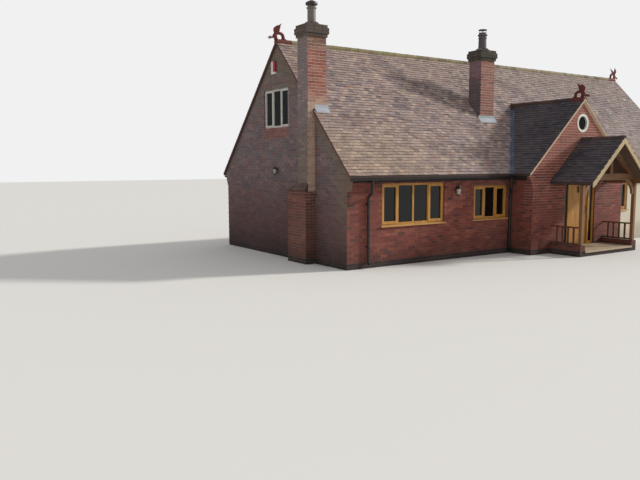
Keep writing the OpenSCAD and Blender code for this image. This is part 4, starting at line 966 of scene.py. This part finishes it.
verge_run = WING_MID - WING_EAVES_X - 0.03
verge_top = WING_RIDGE_Z - 0.0545
verge_foot = verge_top - verge_run * WING_SLOPE
verge_stations = [(WING_MID - verge_run, verge_foot), (WING_MID, verge_top),
    (WING_MID + verge_run, verge_foot)]
verge_section = [(WING_FRONT + y, z) for y, z in ((0.002, 0.006), (0.002, -0.075), (-0.008, -0.075),
    (-0.054, -0.014), (-0.057, 0.006))]
verge_clay = make_wall("verge_mortar", (200, 174, 146), (140, 120, 100), plastered=False)
add_mesh("verge_mortar", *bent_bar(verge_stations, verge_section), verge_clay, "brick")

# %% [markdown]
# ## Ridge tiles
#
# Half-round ridge tiles sit end to end in mortar. Each is a short shell: an arc of the
# outer radius and one of the inner radius, closed at both ends. Every tile is lifted a
# hair, as hand-bedded tiles are. The main ridge is yellow-green with lichen, greyer to
# the right, while the ridges of the wing and the porch stay dark red-brown without lichen,
# darkened further as painted shade.

# %% Half-round ridge
RIDGE = ([(132, 118, 88), (116, 104, 80), (142, 126, 98), (108, 90, 74)], [4, 3, 2, 2])
# Wing and porch ridge: dark red-brown clay, made darker still as painted shade.
PAINTED_SHADE_RIDGE = ([(78, 60, 57), (68, 55, 53), (84, 64, 57), (64, 51, 51)], [4, 3, 2, 2])
RIDGE_RADIUS = 0.085
SUNK = 0.45
FINIAL_TILE = 0.45


def arc_shell(a, b, height, radius, slope, seed, wall=0.018, n=18):
    """A half-round tile from point a to point b: points at angle t are a + (radius sin t) sideways and
    (height + radius (cos t - 0.45)) up, for t between the two places where the circle meets the slopes."""
    a, b = np.array(a, float), np.array(b, float)
    rng = np.random.default_rng(seed)
    limit = np.arctan(slope) + np.arccos(SUNK / np.hypot(1, slope))
    t = np.linspace(-limit, limit, n)
    along = (b - a) / np.linalg.norm(b - a)
    side, up = np.array([along[1], -along[0], 0]), np.array([0, 0, 1])
    rings = []
    for point, grow in ((a, 0.004), (a + (b - a) * 0.12, 0.003), (b, 0.0)):
        centre = point + np.array([0, 0, height - SUNK * radius + rng.normal(0, 0.0015)])
        for r in (radius + grow, radius - wall):
            rings.append(centre + r * np.sin(t)[:, None] * side + r * np.cos(t)[:, None] * up)
    k = np.arange(n - 1)
    quads = []
    for outer in (0, 2 * n):
        inner = outer + n
        quads.append(np.stack([outer + k, outer + 2 * n + k, outer + 2 * n + k + 1, outer + k + 1], 1))
        quads.append(np.stack([inner + k + 1, inner + 2 * n + k + 1, inner + 2 * n + k, inner + k], 1))
        for e in (0, n - 1):
            rim = [outer + e, inner + e, inner + 2 * n + e, outer + 2 * n + e]
            quads.append(np.array([rim if e == 0 else rim[::-1]]))
    last = 4 * n
    quads.append(np.stack([k, k + 1, n + k + 1, n + k], 1))
    quads.append(np.stack([last + n + k, last + n + k + 1, last + k + 1, last + k], 1))
    return np.concatenate(rings), np.concatenate(quads)


def ridge_run(start, end, height, radius, slope, count, seed, palette):
    """Tiles of equal length from start to end with 8 mm between them."""
    start, end = np.array(start, float), np.array(end, float)
    step = (end - start) / count
    gap = step / np.linalg.norm(step) * 0.004
    parts = []
    for i in range(count):
        a, b = start + i * step + gap, start + (i + 1) * step - gap
        verts, quads = arc_shell(a, b, height, radius, slope, seed + i)
        parts.append((verts[None], quads[None], paint_cells(1, palette, 0.1, seed + i)))
    return parts


def make_ridge():
    """Ridge clay: the tile's paint, and above 5 m patches of lichen, yellow-green at the left end and
    grey-buff at the right end."""
    material, tree = new_material("ridge_tile", 0.85)
    colour, normal = weathered(tree, paint_of(tree), (74, 64, 52), (116, 108, 90), 0.2, 0.0)
    place = split(tree, coordinates(tree))
    high_up = calc(tree, "GREATER_THAN", place["Z"], 5.0)
    lichen = blend_colours(tree, ramp(tree, place["X"], -6.0, 3.0), (132, 126, 74), (150, 140, 118))
    green = use_group(tree, PATCHES, Scale=5.0, Low=0.42, High=0.60)["Mask"]
    mossy = blend_colours(tree, green, colour, lichen, high_up)
    pale = use_group(tree, PATCHES, Scale=14.0, Low=0.60, High=0.70)["Mask"]
    return surface(material, blend_colours(tree, pale, mossy, (184, 178, 156), high_up), normal)


ridge_tile = dress(make_ridge(), "ridge_tiles")
main_ridge = ridge_run((low("ridge_tiles")[0], 0, 0), (high("ridge_tiles")[0], 0, 0), RIDGE_Z,
    RIDGE_RADIUS, SLOPE, 32, 300, RIDGE)
wing_back_y = EAVES_Y + (WING_RIDGE_Z - EAVES_Z) / SLOPE
wing_ridge = ridge_run((WING_MID, WING_EAVES_FRONT + FINIAL_TILE, 0), (WING_MID, wing_back_y + 0.06, 0),
    WING_RIDGE_Z, RIDGE_RADIUS, WING_SLOPE, 4, 350, PAINTED_SHADE_RIDGE)
porch_ridge = ridge_run((WING_MID, porch_low[1] - 0.025, 0), (WING_MID, WING_FRONT, 0), porch_high[2], 0.072,
    porch_slope, 4, 370, PAINTED_SHADE_RIDGE)
ridge_piece = make_piece("half_round_ridge", main_ridge + wing_ridge + porch_ridge, ridge_tile, "ridge_tile")
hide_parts("ridge_tiles")

# %% [markdown]
# ## Oak, glass, lead and the rest
#
# Each remaining solid keeps its shape and gets its own finish. Wood could carry a
# printed grain image. Here noise is stretched along the length of each board, so the
# grain follows whichever way the timber runs.

# %% Finishes of the smaller parts
def make_wood(name, light, dark, axis, roughness, bump, grey=0.0):
    """Wood: noise stretched along an axis gives grain, darker lines where it crosses a threshold. Grey
    weathers it."""
    material, tree = new_material(name, roughness)
    squeeze = [34.0, 34.0, 34.0]
    squeeze["xyz".index(axis)] = 1.6
    stretched = add(tree, "Mapping", Vector=coordinates(tree), Scale=squeeze).outputs[0]
    grain = noise(tree, stretched, Scale=1.0, Detail=6.0, Roughness=0.62, Distortion=0.4)
    wood = blend_colours(tree, ramp(tree, grain, 0.32, 0.68), dark, light)
    patches = use_group(tree, PATCHES, Scale=1.6, Low=0.45, High=0.7)["Mask"]
    aged = blend_colours(tree, patches, wood, (150, 140, 124), grey)
    return surface(material, aged, bumped(tree, grain, bump, 0.002))


def make_plain(name, colour, roughness, worn, wear=0.4, grain=60.0, bump=0.15, second=None, **plain):
    """A simple surface: one colour, soft patches of a worn one, fine grit in the normal. Second is a colour
    and the conditions (axis, operation, value) on the place that it holds at."""
    material, tree = new_material(name, roughness, **plain)
    if second:
        place = split(tree, coordinates(tree))
        holds = 1.0
        for axis, operation, value in second[1]:
            holds = calc(tree, "MULTIPLY", holds, calc(tree, operation, place[axis], value))
        colour = blend_colours(tree, holds, colour, second[0])
    patches = use_group(tree, PATCHES, Scale=3.0, Low=0.42, High=0.7)["Mask"]
    colour = blend_colours(tree, patches, colour, worn, wear)
    grit = use_group(tree, GRIT, Scale=grain)
    fleck = ramp(tree, grit["Mask"], 0.3, 0.7, 0.88, 1.1)
    flecked = blend_colours(tree, 1.0, colour, fleck, how="MULTIPLY")
    return surface(material, flecked, bumped(tree, grit["Height"], bump, 0.002))


def make_glass():
    """Window glass: mostly mirror, with a near-black base colour as painted shade of the dark room behind;
    some light passes.
    """
    material, tree = new_material("glass", 0.03, Metallic=0.0, IOR=1.5, Transmission_Weight=0.25,
        Specular_IOR_Level=0.3)
    ripple = noise(tree, coordinates(tree), Scale=2.5)
    # painted shade: the glass's base colour is near-black, standing for the unlit room behind
    tint = blend_colours(tree, ripple, (8, 10, 13), (18, 22, 26))
    return surface(material, tint, bumped(tree, ripple, 0.04, 0.01))


def make_alarm():
    """The alarm box: a crimson half towards the front, a pale half towards the back and a white foot
    strip."""
    material, tree = new_material("alarm_plastic", 0.4)
    place = split(tree, coordinates(tree))
    halves = blend_colours(tree, calc(tree, "GREATER_THAN", place["Y"], 0.17), (168, 40, 56), (226, 208, 208))
    striped = blend_colours(tree, calc(tree, "LESS_THAN", place["Z"], 5.0), halves, (226, 224, 222))
    grime = use_group(tree, STREAKS, Low=0.50, High=0.85)["Mask"]
    return surface(material, blend_colours(tree, grime, striped, (120, 108, 100), 0.35))


# %% Dress timber and boards
dress(make_wood("window_oak", (206, 152, 70), (156, 104, 44), "z", 0.42, 0.2), "window_frames", "door_frame")
dress(make_wood("porch_oak", (150, 106, 66), (100, 66, 40), "z", 0.65, 0.3, 0.15), "porch_posts",
    "porch_braces")
dress(make_wood("rail_oak", (118, 72, 46), (78, 46, 32), "z", 0.6, 0.3, 0.1), "porch_balustrades")
dress(make_wood("beam_oak", (140, 98, 62), (94, 62, 38), "y", 0.65, 0.3, 0.2), "porch_plates")
dress(make_wood("cross_oak", (134, 92, 58), (90, 58, 36), "x", 0.65, 0.3, 0.2), "porch_truss")
dress(make_wood("board_oak", (214, 170, 104), (170, 122, 66), "x", 0.5, 0.2), "window_boards")
dress(make_wood("pale_timber", (200, 178, 136), (158, 134, 96), "z", 0.6, 0.25, 0.35), "barge_boards")
dress(make_wood("floorboards", (176, 138, 92), (132, 98, 62), "y", 0.55, 0.2), "upper_floor")
door_oak = dress(make_wood("door_oak", (204, 150, 72), (154, 104, 44), "z", 0.45, 0.25), "door_leaf")

# %% Dress metal, clay, stone and glass
dress(make_glass(), "ground_floor_glass", "upper_floor_glass", "side_lights", "door_pane")
dress(make_alarm(), "alarm_box")
dress(make_plain("grey_frame", (208, 206, 198), 0.5, (178, 174, 164)), "gable_window_frames")
dress(make_plain("white_ring", (226, 224, 216), 0.55, (190, 186, 176), 0.3), "round_window_frame")
dress(make_plain("black_plastic", (28, 28, 30), 0.35, (70, 68, 66), 0.3), "gutters", "downpipes")
dress(make_plain("black_paint", (28, 22, 21), 0.6, (48, 40, 38), 0.3), "eaves_boards")
# Lead: the valley lead is a dark blue-grey as painted shade, and the aprons at the stacks a pale grey as
# painted sunlight.
dress(make_plain("lead", (76, 90, 112), 0.5, (138, 148, 160), Metallic=0.0,
    second=((170, 177, 186), [("Z", "GREATER_THAN", 3.2), ("X", "LESS_THAN", -1.1)])), "lead_work")
dress(make_plain("flue_pot", (122, 118, 108), 0.5, (84, 78, 72), 0.5,
    second=((66, 58, 54), [("Z", "GREATER_THAN", 6.39)])), "end_chimney_pot")
dress(make_plain("clay_pot", (98, 88, 90), 0.7, (70, 62, 64), 0.5), "front_chimney_pot")
dress(make_plain("step_stone", (184, 166, 140), 0.8, (148, 136, 114), 0.45), "porch_step")
dress(make_plain("concrete", (150, 146, 138), 0.9, (118, 112, 104), 0.5, 30.0, 0.4), "ground_slab",
    "hall_slab")
terracotta = dress(make_plain("terracotta", (106, 44, 42), 0.8, (84, 52, 48), 0.5), "ridge_finials")
black_iron = dress(make_plain("black_iron", (34, 34, 36), 0.45, (84, 66, 52), 0.35, Metallic=0.0),
    "door_handle", "wall_lanterns")
frosted = make_plain("frosted_glass", (196, 192, 178), 0.3, (160, 156, 144), 0.3)

# %% [markdown]
# ## Small things of clay, iron and lead
#
# Air bricks, the boards of the front door, the glass of the lanterns and a tile vent
# are too small for the CAD model. Each could be a texture, but near the camera their
# edges catch light, so they are real blocks made with the same tool as the bricks.

# %% Air bricks
def upright(u0, u1, v0, v1):
    """A cell whose ends are upright."""
    return [u0, u1, u0, u1, v0, v1]


def air_brick(side, origin):
    """A terracotta grille 215 mm wide and 65 mm high: a near-black sheet, painted shade standing for
    the holes, behind nine upright bars and three rails."""
    along, out = side
    sheet = [upright(0.0, 0.215, 0.0, 0.065)]
    bars = [upright(u, u + 0.011, 0.0, 0.065) for u in np.arange(9) * 0.0255]
    rails = [upright(0.0, 0.215, v, v + 0.010) for v in (0.0, 0.0275, 0.055)]
    # painted shade: the near-black sheet behind the bars stands for the darkness through the grille's holes
    layers = [(sheet, -0.03, 0.0006, (20, 17, 16)), (bars, -0.02, 0.003, (74, 54, 48)),
        (rails, -0.02, 0.0035, (78, 58, 52))]
    parts = []
    for cells, back, face, colour in layers:
        verts, quads = stand_blocks(np.array(cells), origin, along, (0, 0, 1), out, (back, back),
            (face, face))
        parts.append((verts, quads, paint_cells(len(cells), ([colour], [1]), 0.03, 7)))
    return parts


air_parts = []
for x0, x1, z0, z1 in front_air:
    air_parts += air_brick(TO_FRONT, (x0, FRONT, z0))
for u0, u1, z0, z1 in gable_air:
    air_parts += air_brick(TO_LEFT, (LEFT, -u0, z0))
make_piece("air_bricks", air_parts, brick, "brick")

# %% Roof vent
vent = np.array([upright(7.00, 7.22, 3.60, 3.72)])
verts, quads = stand_blocks(vent, *front_place, (0.0, 0.0), (0.045, 0.020))
vent_lead = make_plain("vent_lead", (190, 186, 176), 0.6, (150, 146, 136))
make_piece("roof_vent", [(verts, quads, None)], vent_lead, "lead")

# %% Tiles on the chimney's offset
OFFSET_TILES = ([(98, 74, 66), (88, 70, 64), (106, 82, 70)], [1, 1, 1])
OFFSET_LOW, OFFSET_HIGH = 1.86, 2.05
OFFSET_DEEP = 0.105
offset_left, offset_back = LEFT - 0.315, BASE_BACK + 0.025


def offset_tiles(origin, along, step, length, hip, seed):
    """Courses on one side of the offset, from its lower edge up by a step (x, y, z), cut along the hip."""
    size = float(np.linalg.norm(step))
    up = np.array(step) / size
    rows = round(size / 0.11)
    return slope_tiles((origin, along, up, np.cross(along, up)), lambda v: hip[0] * v / size,
        lambda v: length - hip[1] * v / size, 0.0, size, size / rows, size, seed, OFFSET_TILES)


rise = OFFSET_HIGH - OFFSET_LOW
offset_parts = [
    offset_tiles((offset_left, offset_back, OFFSET_LOW), (0, -1, 0), (OFFSET_DEEP, 0, rise),
        offset_back - STACK_FRONT, (offset_back - STACK_BACK, 0), 230),
    offset_tiles((LEFT, offset_back, OFFSET_LOW), (-1, 0, 0), (0, STACK_BACK - offset_back, rise),
        LEFT - offset_left, (0, OFFSET_DEEP), 231)]
make_piece("offset_tiles", offset_parts, roof_tile, "roof_tile")

# %% Door boards
LEAF_HALF = 0.435
LEAF_EDGE = 0.012
HALF_GAP = 0.0025
leaf_low, leaf_high = low("door_leaf"), high("door_leaf")
pane_low, pane_high = low("door_pane"), high("door_pane")
door_mid = (pane_low[0] + pane_high[0]) / 2
pane_hole = (pane_low[0] - door_mid, pane_high[0] - door_mid, pane_low[2], pane_high[2])
plate_x, plate_z = LEAF_HALF - 0.060, leaf_low[2] + 1.0
plate_hole = (plate_x - 0.026, plate_x + 0.026, plate_z - 0.114, plate_z + 0.114)
edges = -LEAF_HALF + LEAF_EDGE + 2 * (LEAF_HALF - LEAF_EDGE) / 7 * np.arange(8)
rows = []
for a, b in zip(edges[:-1], edges[1:]):
    cuts = [hole for hole in (pane_hole, plate_hole) if hole[0] < b - 0.003 and hole[1] > a + 0.003]
    heights = [leaf_low[2] + LEAF_EDGE] + [z for hole in cuts for z in hole[2:]] + [leaf_high[2] - LEAF_EDGE]
    rows += [upright(a + HALF_GAP, b - HALF_GAP, v0, v1) for v0, v1 in zip(heights[0::2], heights[1::2])]
    for u0, u1, v0, v1 in cuts:
        beside = (a + HALF_GAP, u0), (u1, b - HALF_GAP)
        rows += [upright(c, d, v0, v1) for c, d in beside if d - c > 0.01]
verts, quads = stand_blocks(np.array(rows), (door_mid, leaf_low[1], 0), (1, 0, 0), (0, 0, 1), (0, -1, 0),
    (-0.004, -0.004), (0.005, 0.005))
make_piece("door_boards", [(verts, quads, None)], door_oak, "oak", "front_door")

# %% [markdown]
# ## Dragon finials
#
# A terracotta dragon sits on each gable end. The CAD model cuts them from flat clay;
# here the bodies are round. They could be sculpted by hand, but a body is a tube of
# changing thickness along a curve, so a few points and radii give neck, ring, legs
# and tail, and the wings are thin clay between three ribs.

# %% Tubes, plates and joined parts
WING_LEAN = np.radians(18)
WING_OUTLINE = [(-14, 0), (-38, 50), (-46, 105), (-26, 160), (30, 200), (142, 276), (108, 222), (104, 190),
    (114, 168), (98, 134), (96, 112), (108, 92), (92, 62), (96, 0)]


def curve(points, count):
    """A Catmull-Rom curve through points with any number of columns: on each span, with s from 0 to 1,
    p = (2 b + (c - a) s + (2 a - 5 b + 4 c - d) s^2 + (3 b - a - 3 c + d) s^3) / 2."""
    p = np.asarray(points, float)
    p = np.vstack([2 * p[0] - p[1], p, 2 * p[-1] - p[-2]])
    t = np.linspace(0, len(p) - 3, count)
    k = np.minimum(t.astype(int), len(p) - 4)
    s = (t - k)[:, None]
    a, b, c, d = p[k], p[k + 1], p[k + 2], p[k + 3]
    return (2 * b + (c - a) * s + (2 * a - 5 * b + 4 * c - d) * s ** 2 + (3 * b - a - 3 * c + d) * s ** 3) / 2


def tube(points, flat=0.78, count=20, around=10):
    """A closed tube in the dragon's upright plane. Points are (x, z, radius) in mm, or (x, z, radius, y).
    Rings are circles round the curve, narrower across by the factor flat."""
    line = curve([tuple(point) + (0.0,) * (4 - len(point)) for point in points], count) / 1000
    step = np.gradient(line[:, [0, 1]], axis=0)
    step /= np.linalg.norm(step, axis=1, keepdims=True)
    angle = np.linspace(0, 2 * np.pi, around, endpoint=False)
    rise, across = np.cos(angle)[None, :, None], np.sin(angle)[None, :, None]
    radius = np.maximum(line[:, 2], 0.002)[:, None, None]
    lift = np.stack([-step[:, 1], np.zeros(count), step[:, 0]], axis=1)[:, None, :]
    centre = np.stack([line[:, 0], line[:, 3], line[:, 1]], axis=1)[:, None, :]
    rings = centre + radius * (rise * lift + flat * across * np.array([0, 1, 0]))
    return rings.reshape(-1, 3), skin(count, around)


def prism(n):
    """Faces between two rings of n points, and one polygon on each ring."""
    k = np.arange(n)
    after = (k + 1) % n
    return np.stack([k, after, after + n, k + n], axis=1).tolist() + [k[::-1].tolist(), (k + n).tolist()]


def wing_plate(side):
    """A wing's clay between its ribs: the outline leaning out by 18 degrees, 12 mm thick."""
    outline = np.array(WING_OUTLINE) / 1000
    rings = []
    for half in (-0.006, 0.006):
        y = side * (0.014 + outline[:, 1] * np.sin(WING_LEAN)) + half * np.cos(WING_LEAN)
        z = 0.185 + outline[:, 1] * np.cos(WING_LEAN) - side * half * np.sin(WING_LEAN)
        rings.append(np.stack([outline[:, 0], y, z], axis=1))
    return np.concatenate(rings), prism(len(outline))


def wing_rib(side, points):
    """A rib on a wing: points are (x, height along the wing, radius)."""
    leaned = [(x, 185 + h * np.cos(WING_LEAN), r, side * (14 + h * np.sin(WING_LEAN))) for x, h, r in points]
    return tube(leaned, 1.0, 10, 6)


def join(parts):
    """Vertices and faces of many parts (verts, faces) as one list of each."""
    verts, faces, base = [], [], 0
    for part_verts, part_faces in parts:
        verts += part_verts.tolist()
        faces += [[base + i for i in face] for face in part_faces]
        base += len(part_verts)
    return verts, faces


# %% Dragons
def dragon_parts():
    """Every part of one dragon, looking along -X, with the ridge tile's end at x = 0."""
    parts = [
        tube([(-243, 56, 5), (-226, 62, 13), (-204, 76, 19), (-176, 84, 24), (-150, 82, 22), (-122, 78, 19),
            (-96, 84, 24), (-70, 106, 34), (-42, 146, 42), (-6, 180, 44), (44, 202, 44), (96, 206, 42),
            (150, 202, 43), (194, 182, 46), (220, 148, 49), (232, 108, 50), (250, 74, 42), (292, 52, 25),
            (341, 47, 9)], 0.66, 44, 12),
        tube([(-205, 22, 5), (-188, 38, 9), (-168, 54, 13), (-146, 66, 15), (-120, 72, 14)], 0.7, 10),
        tube([(-34, 132, 36), (-26, 88, 32), (-24, 50, 25), (-32, 24, 19), (-44, 18, 9)], 0.9, 12),
        tube([(-10, 170, 36), (6, 126, 42), (16, 80, 38), (54, 42, 24), (118, 30, 18), (184, 42, 24),
            (220, 80, 38), (228, 120, 42)], 0.72, 22)]
    for side in (-1, 1):
        parts += [
            wing_plate(side),
            tube([(-172, 98, 6, side * 12), (-156, 110, 5, side * 15), (-132, 120, 3, side * 19)], 1.0, 8, 6),
            tube([(-196, 86, 4, side * 13), (-188, 89, 6, side * 15), (-180, 90, 4, side * 14)], 1.0, 6, 6),
            wing_rib(side, [(30, -10, 15), (-26, 50, 13), (-34, 105, 11), (-16, 158, 10), (34, 202, 8),
                (140, 272, 4)]),
            wing_rib(side, [(34, 0, 9), (10, 60, 8), (30, 120, 7), (104, 188, 4)]),
            wing_rib(side, [(40, 0, 9), (44, 60, 7), (94, 130, 4)])]
    return parts


def stand_dragon(place, turn, back):
    """One dragon's parts, moved back along its tile by a distance, turned about Z and set at a place."""
    cos, sin = np.cos(turn), np.sin(turn)
    spin = np.array([[cos, -sin, 0], [sin, cos, 0], [0, 0, 1]])
    moved = [(verts + np.array([back, 0, 0]), faces) for verts, faces in dragon_parts()]
    return [(verts @ spin.T + np.array(place), faces) for verts, faces in moved]


dragons = stand_dragon((roof_left, 0, RIDGE_Z), 0.0, 0.0)
dragons += stand_dragon((roof_right, 0, RIDGE_Z), np.pi, 0.0)
dragons += stand_dragon((WING_MID, WING_EAVES_FRONT, WING_RIDGE_Z), np.pi / 2, 0.1)
finial_tiles = [
    ((roof_left + 0.002, 0, 0), (roof_left + FINIAL_TILE, 0, 0), RIDGE_Z, SLOPE),
    ((roof_right - FINIAL_TILE, 0, 0), (roof_right - 0.002, 0, 0), RIDGE_Z, SLOPE),
    ((WING_MID, WING_EAVES_FRONT + 0.002, 0), (WING_MID, WING_EAVES_FRONT + FINIAL_TILE, 0), WING_RIDGE_Z,
        WING_SLOPE)]
for start, end, height, slope in finial_tiles:
    verts, quads = arc_shell(start, end, height, RIDGE_RADIUS, slope, 390, 0.075)
    dragons.append((verts, quads.tolist()))
dragon_piece = add_mesh("dragon_finials", *join(dragons), terracotta, "terracotta", sharp=48)
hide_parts("ridge_finials")

# %% [markdown]
# ## Lantern glass
#
# The lantern by the window and the lamp on the gable have pale frosted panes behind
# thin black bars. The CAD model has them as solid bodies, so a ring of glass a hair
# wider than the body stands round it, with the bars outside.

# %% Lanterns
def lantern_panes(middle, size):
    """A frosted band round a lantern's tapered body, which is 3/4 of its size high, and six bars outside it.
    The radius at height h above the foot is size/8 + (0.88/4 - 1/8) size h / (3/4 size)."""
    rim = size / 4

    def radius(h):
        return rim * 0.5 + rim * 0.38 * h / (0.75 * size)

    foot = np.array(middle) - np.array([0, 0, size / 2])
    n = 24
    angle = np.linspace(0, 2 * np.pi, n, endpoint=False)
    ring = np.stack([np.cos(angle), np.sin(angle), np.zeros(n)], axis=1)
    rings = [foot + ring * (radius(h) + 0.002) + np.array([0, 0, h]) for h in (0.16 * size, 0.66 * size)]
    bars = []
    for a in np.arange(6) * np.pi / 3 + np.pi / 6:
        away, across = np.array([np.cos(a), np.sin(a), 0]), np.array([-np.sin(a), np.cos(a), 0])
        corners = [foot + away * (radius(h) + d) + across * s + np.array([0, 0, h])
            for h in (0.10 * size, 0.72 * size)
            for d, s in ((-0.006, -0.004), (0.006, -0.004), (0.006, 0.004), (-0.006, 0.004))]
        bars.append((np.array(corners), BLOCK_FACES))
    return (np.concatenate(rings), prism(n)), bars


bands, bars = [], []
for middle, size in (((LEFT + 3.58, FRONT - 0.09, 1.815), 0.28), ((LEFT - 0.09, 0.06, 2.35), 0.22)):
    band, some_bars = lantern_panes(middle, size)
    bands.append(band)
    bars += some_bars
add_mesh("lantern_glass", *join(bands), frosted, "glass")
add_mesh("lantern_bars", *join(bars), black_iron, "black_iron")

# %% [markdown]
# ## Floor and finish
#
# The house stands on a plain pale floor. The ground could be modelled, but the floor
# only catches a soft shadow and isn't part of the house when it is reused.

# %% Floor
floor_corners = [(-90, -90, -0.002), (90, -90, -0.002), (90, 90, -0.002), (-90, 90, -0.002)]
floor_mesh = bpy.data.meshes.new("floor")
floor_mesh.from_pydata(floor_corners, [], [(0, 1, 2, 3)])
floor_mesh.materials.append(surface(new_material("floor", 0.95)[0], srgb(228, 227, 224)))
place_object("floor", floor_mesh)
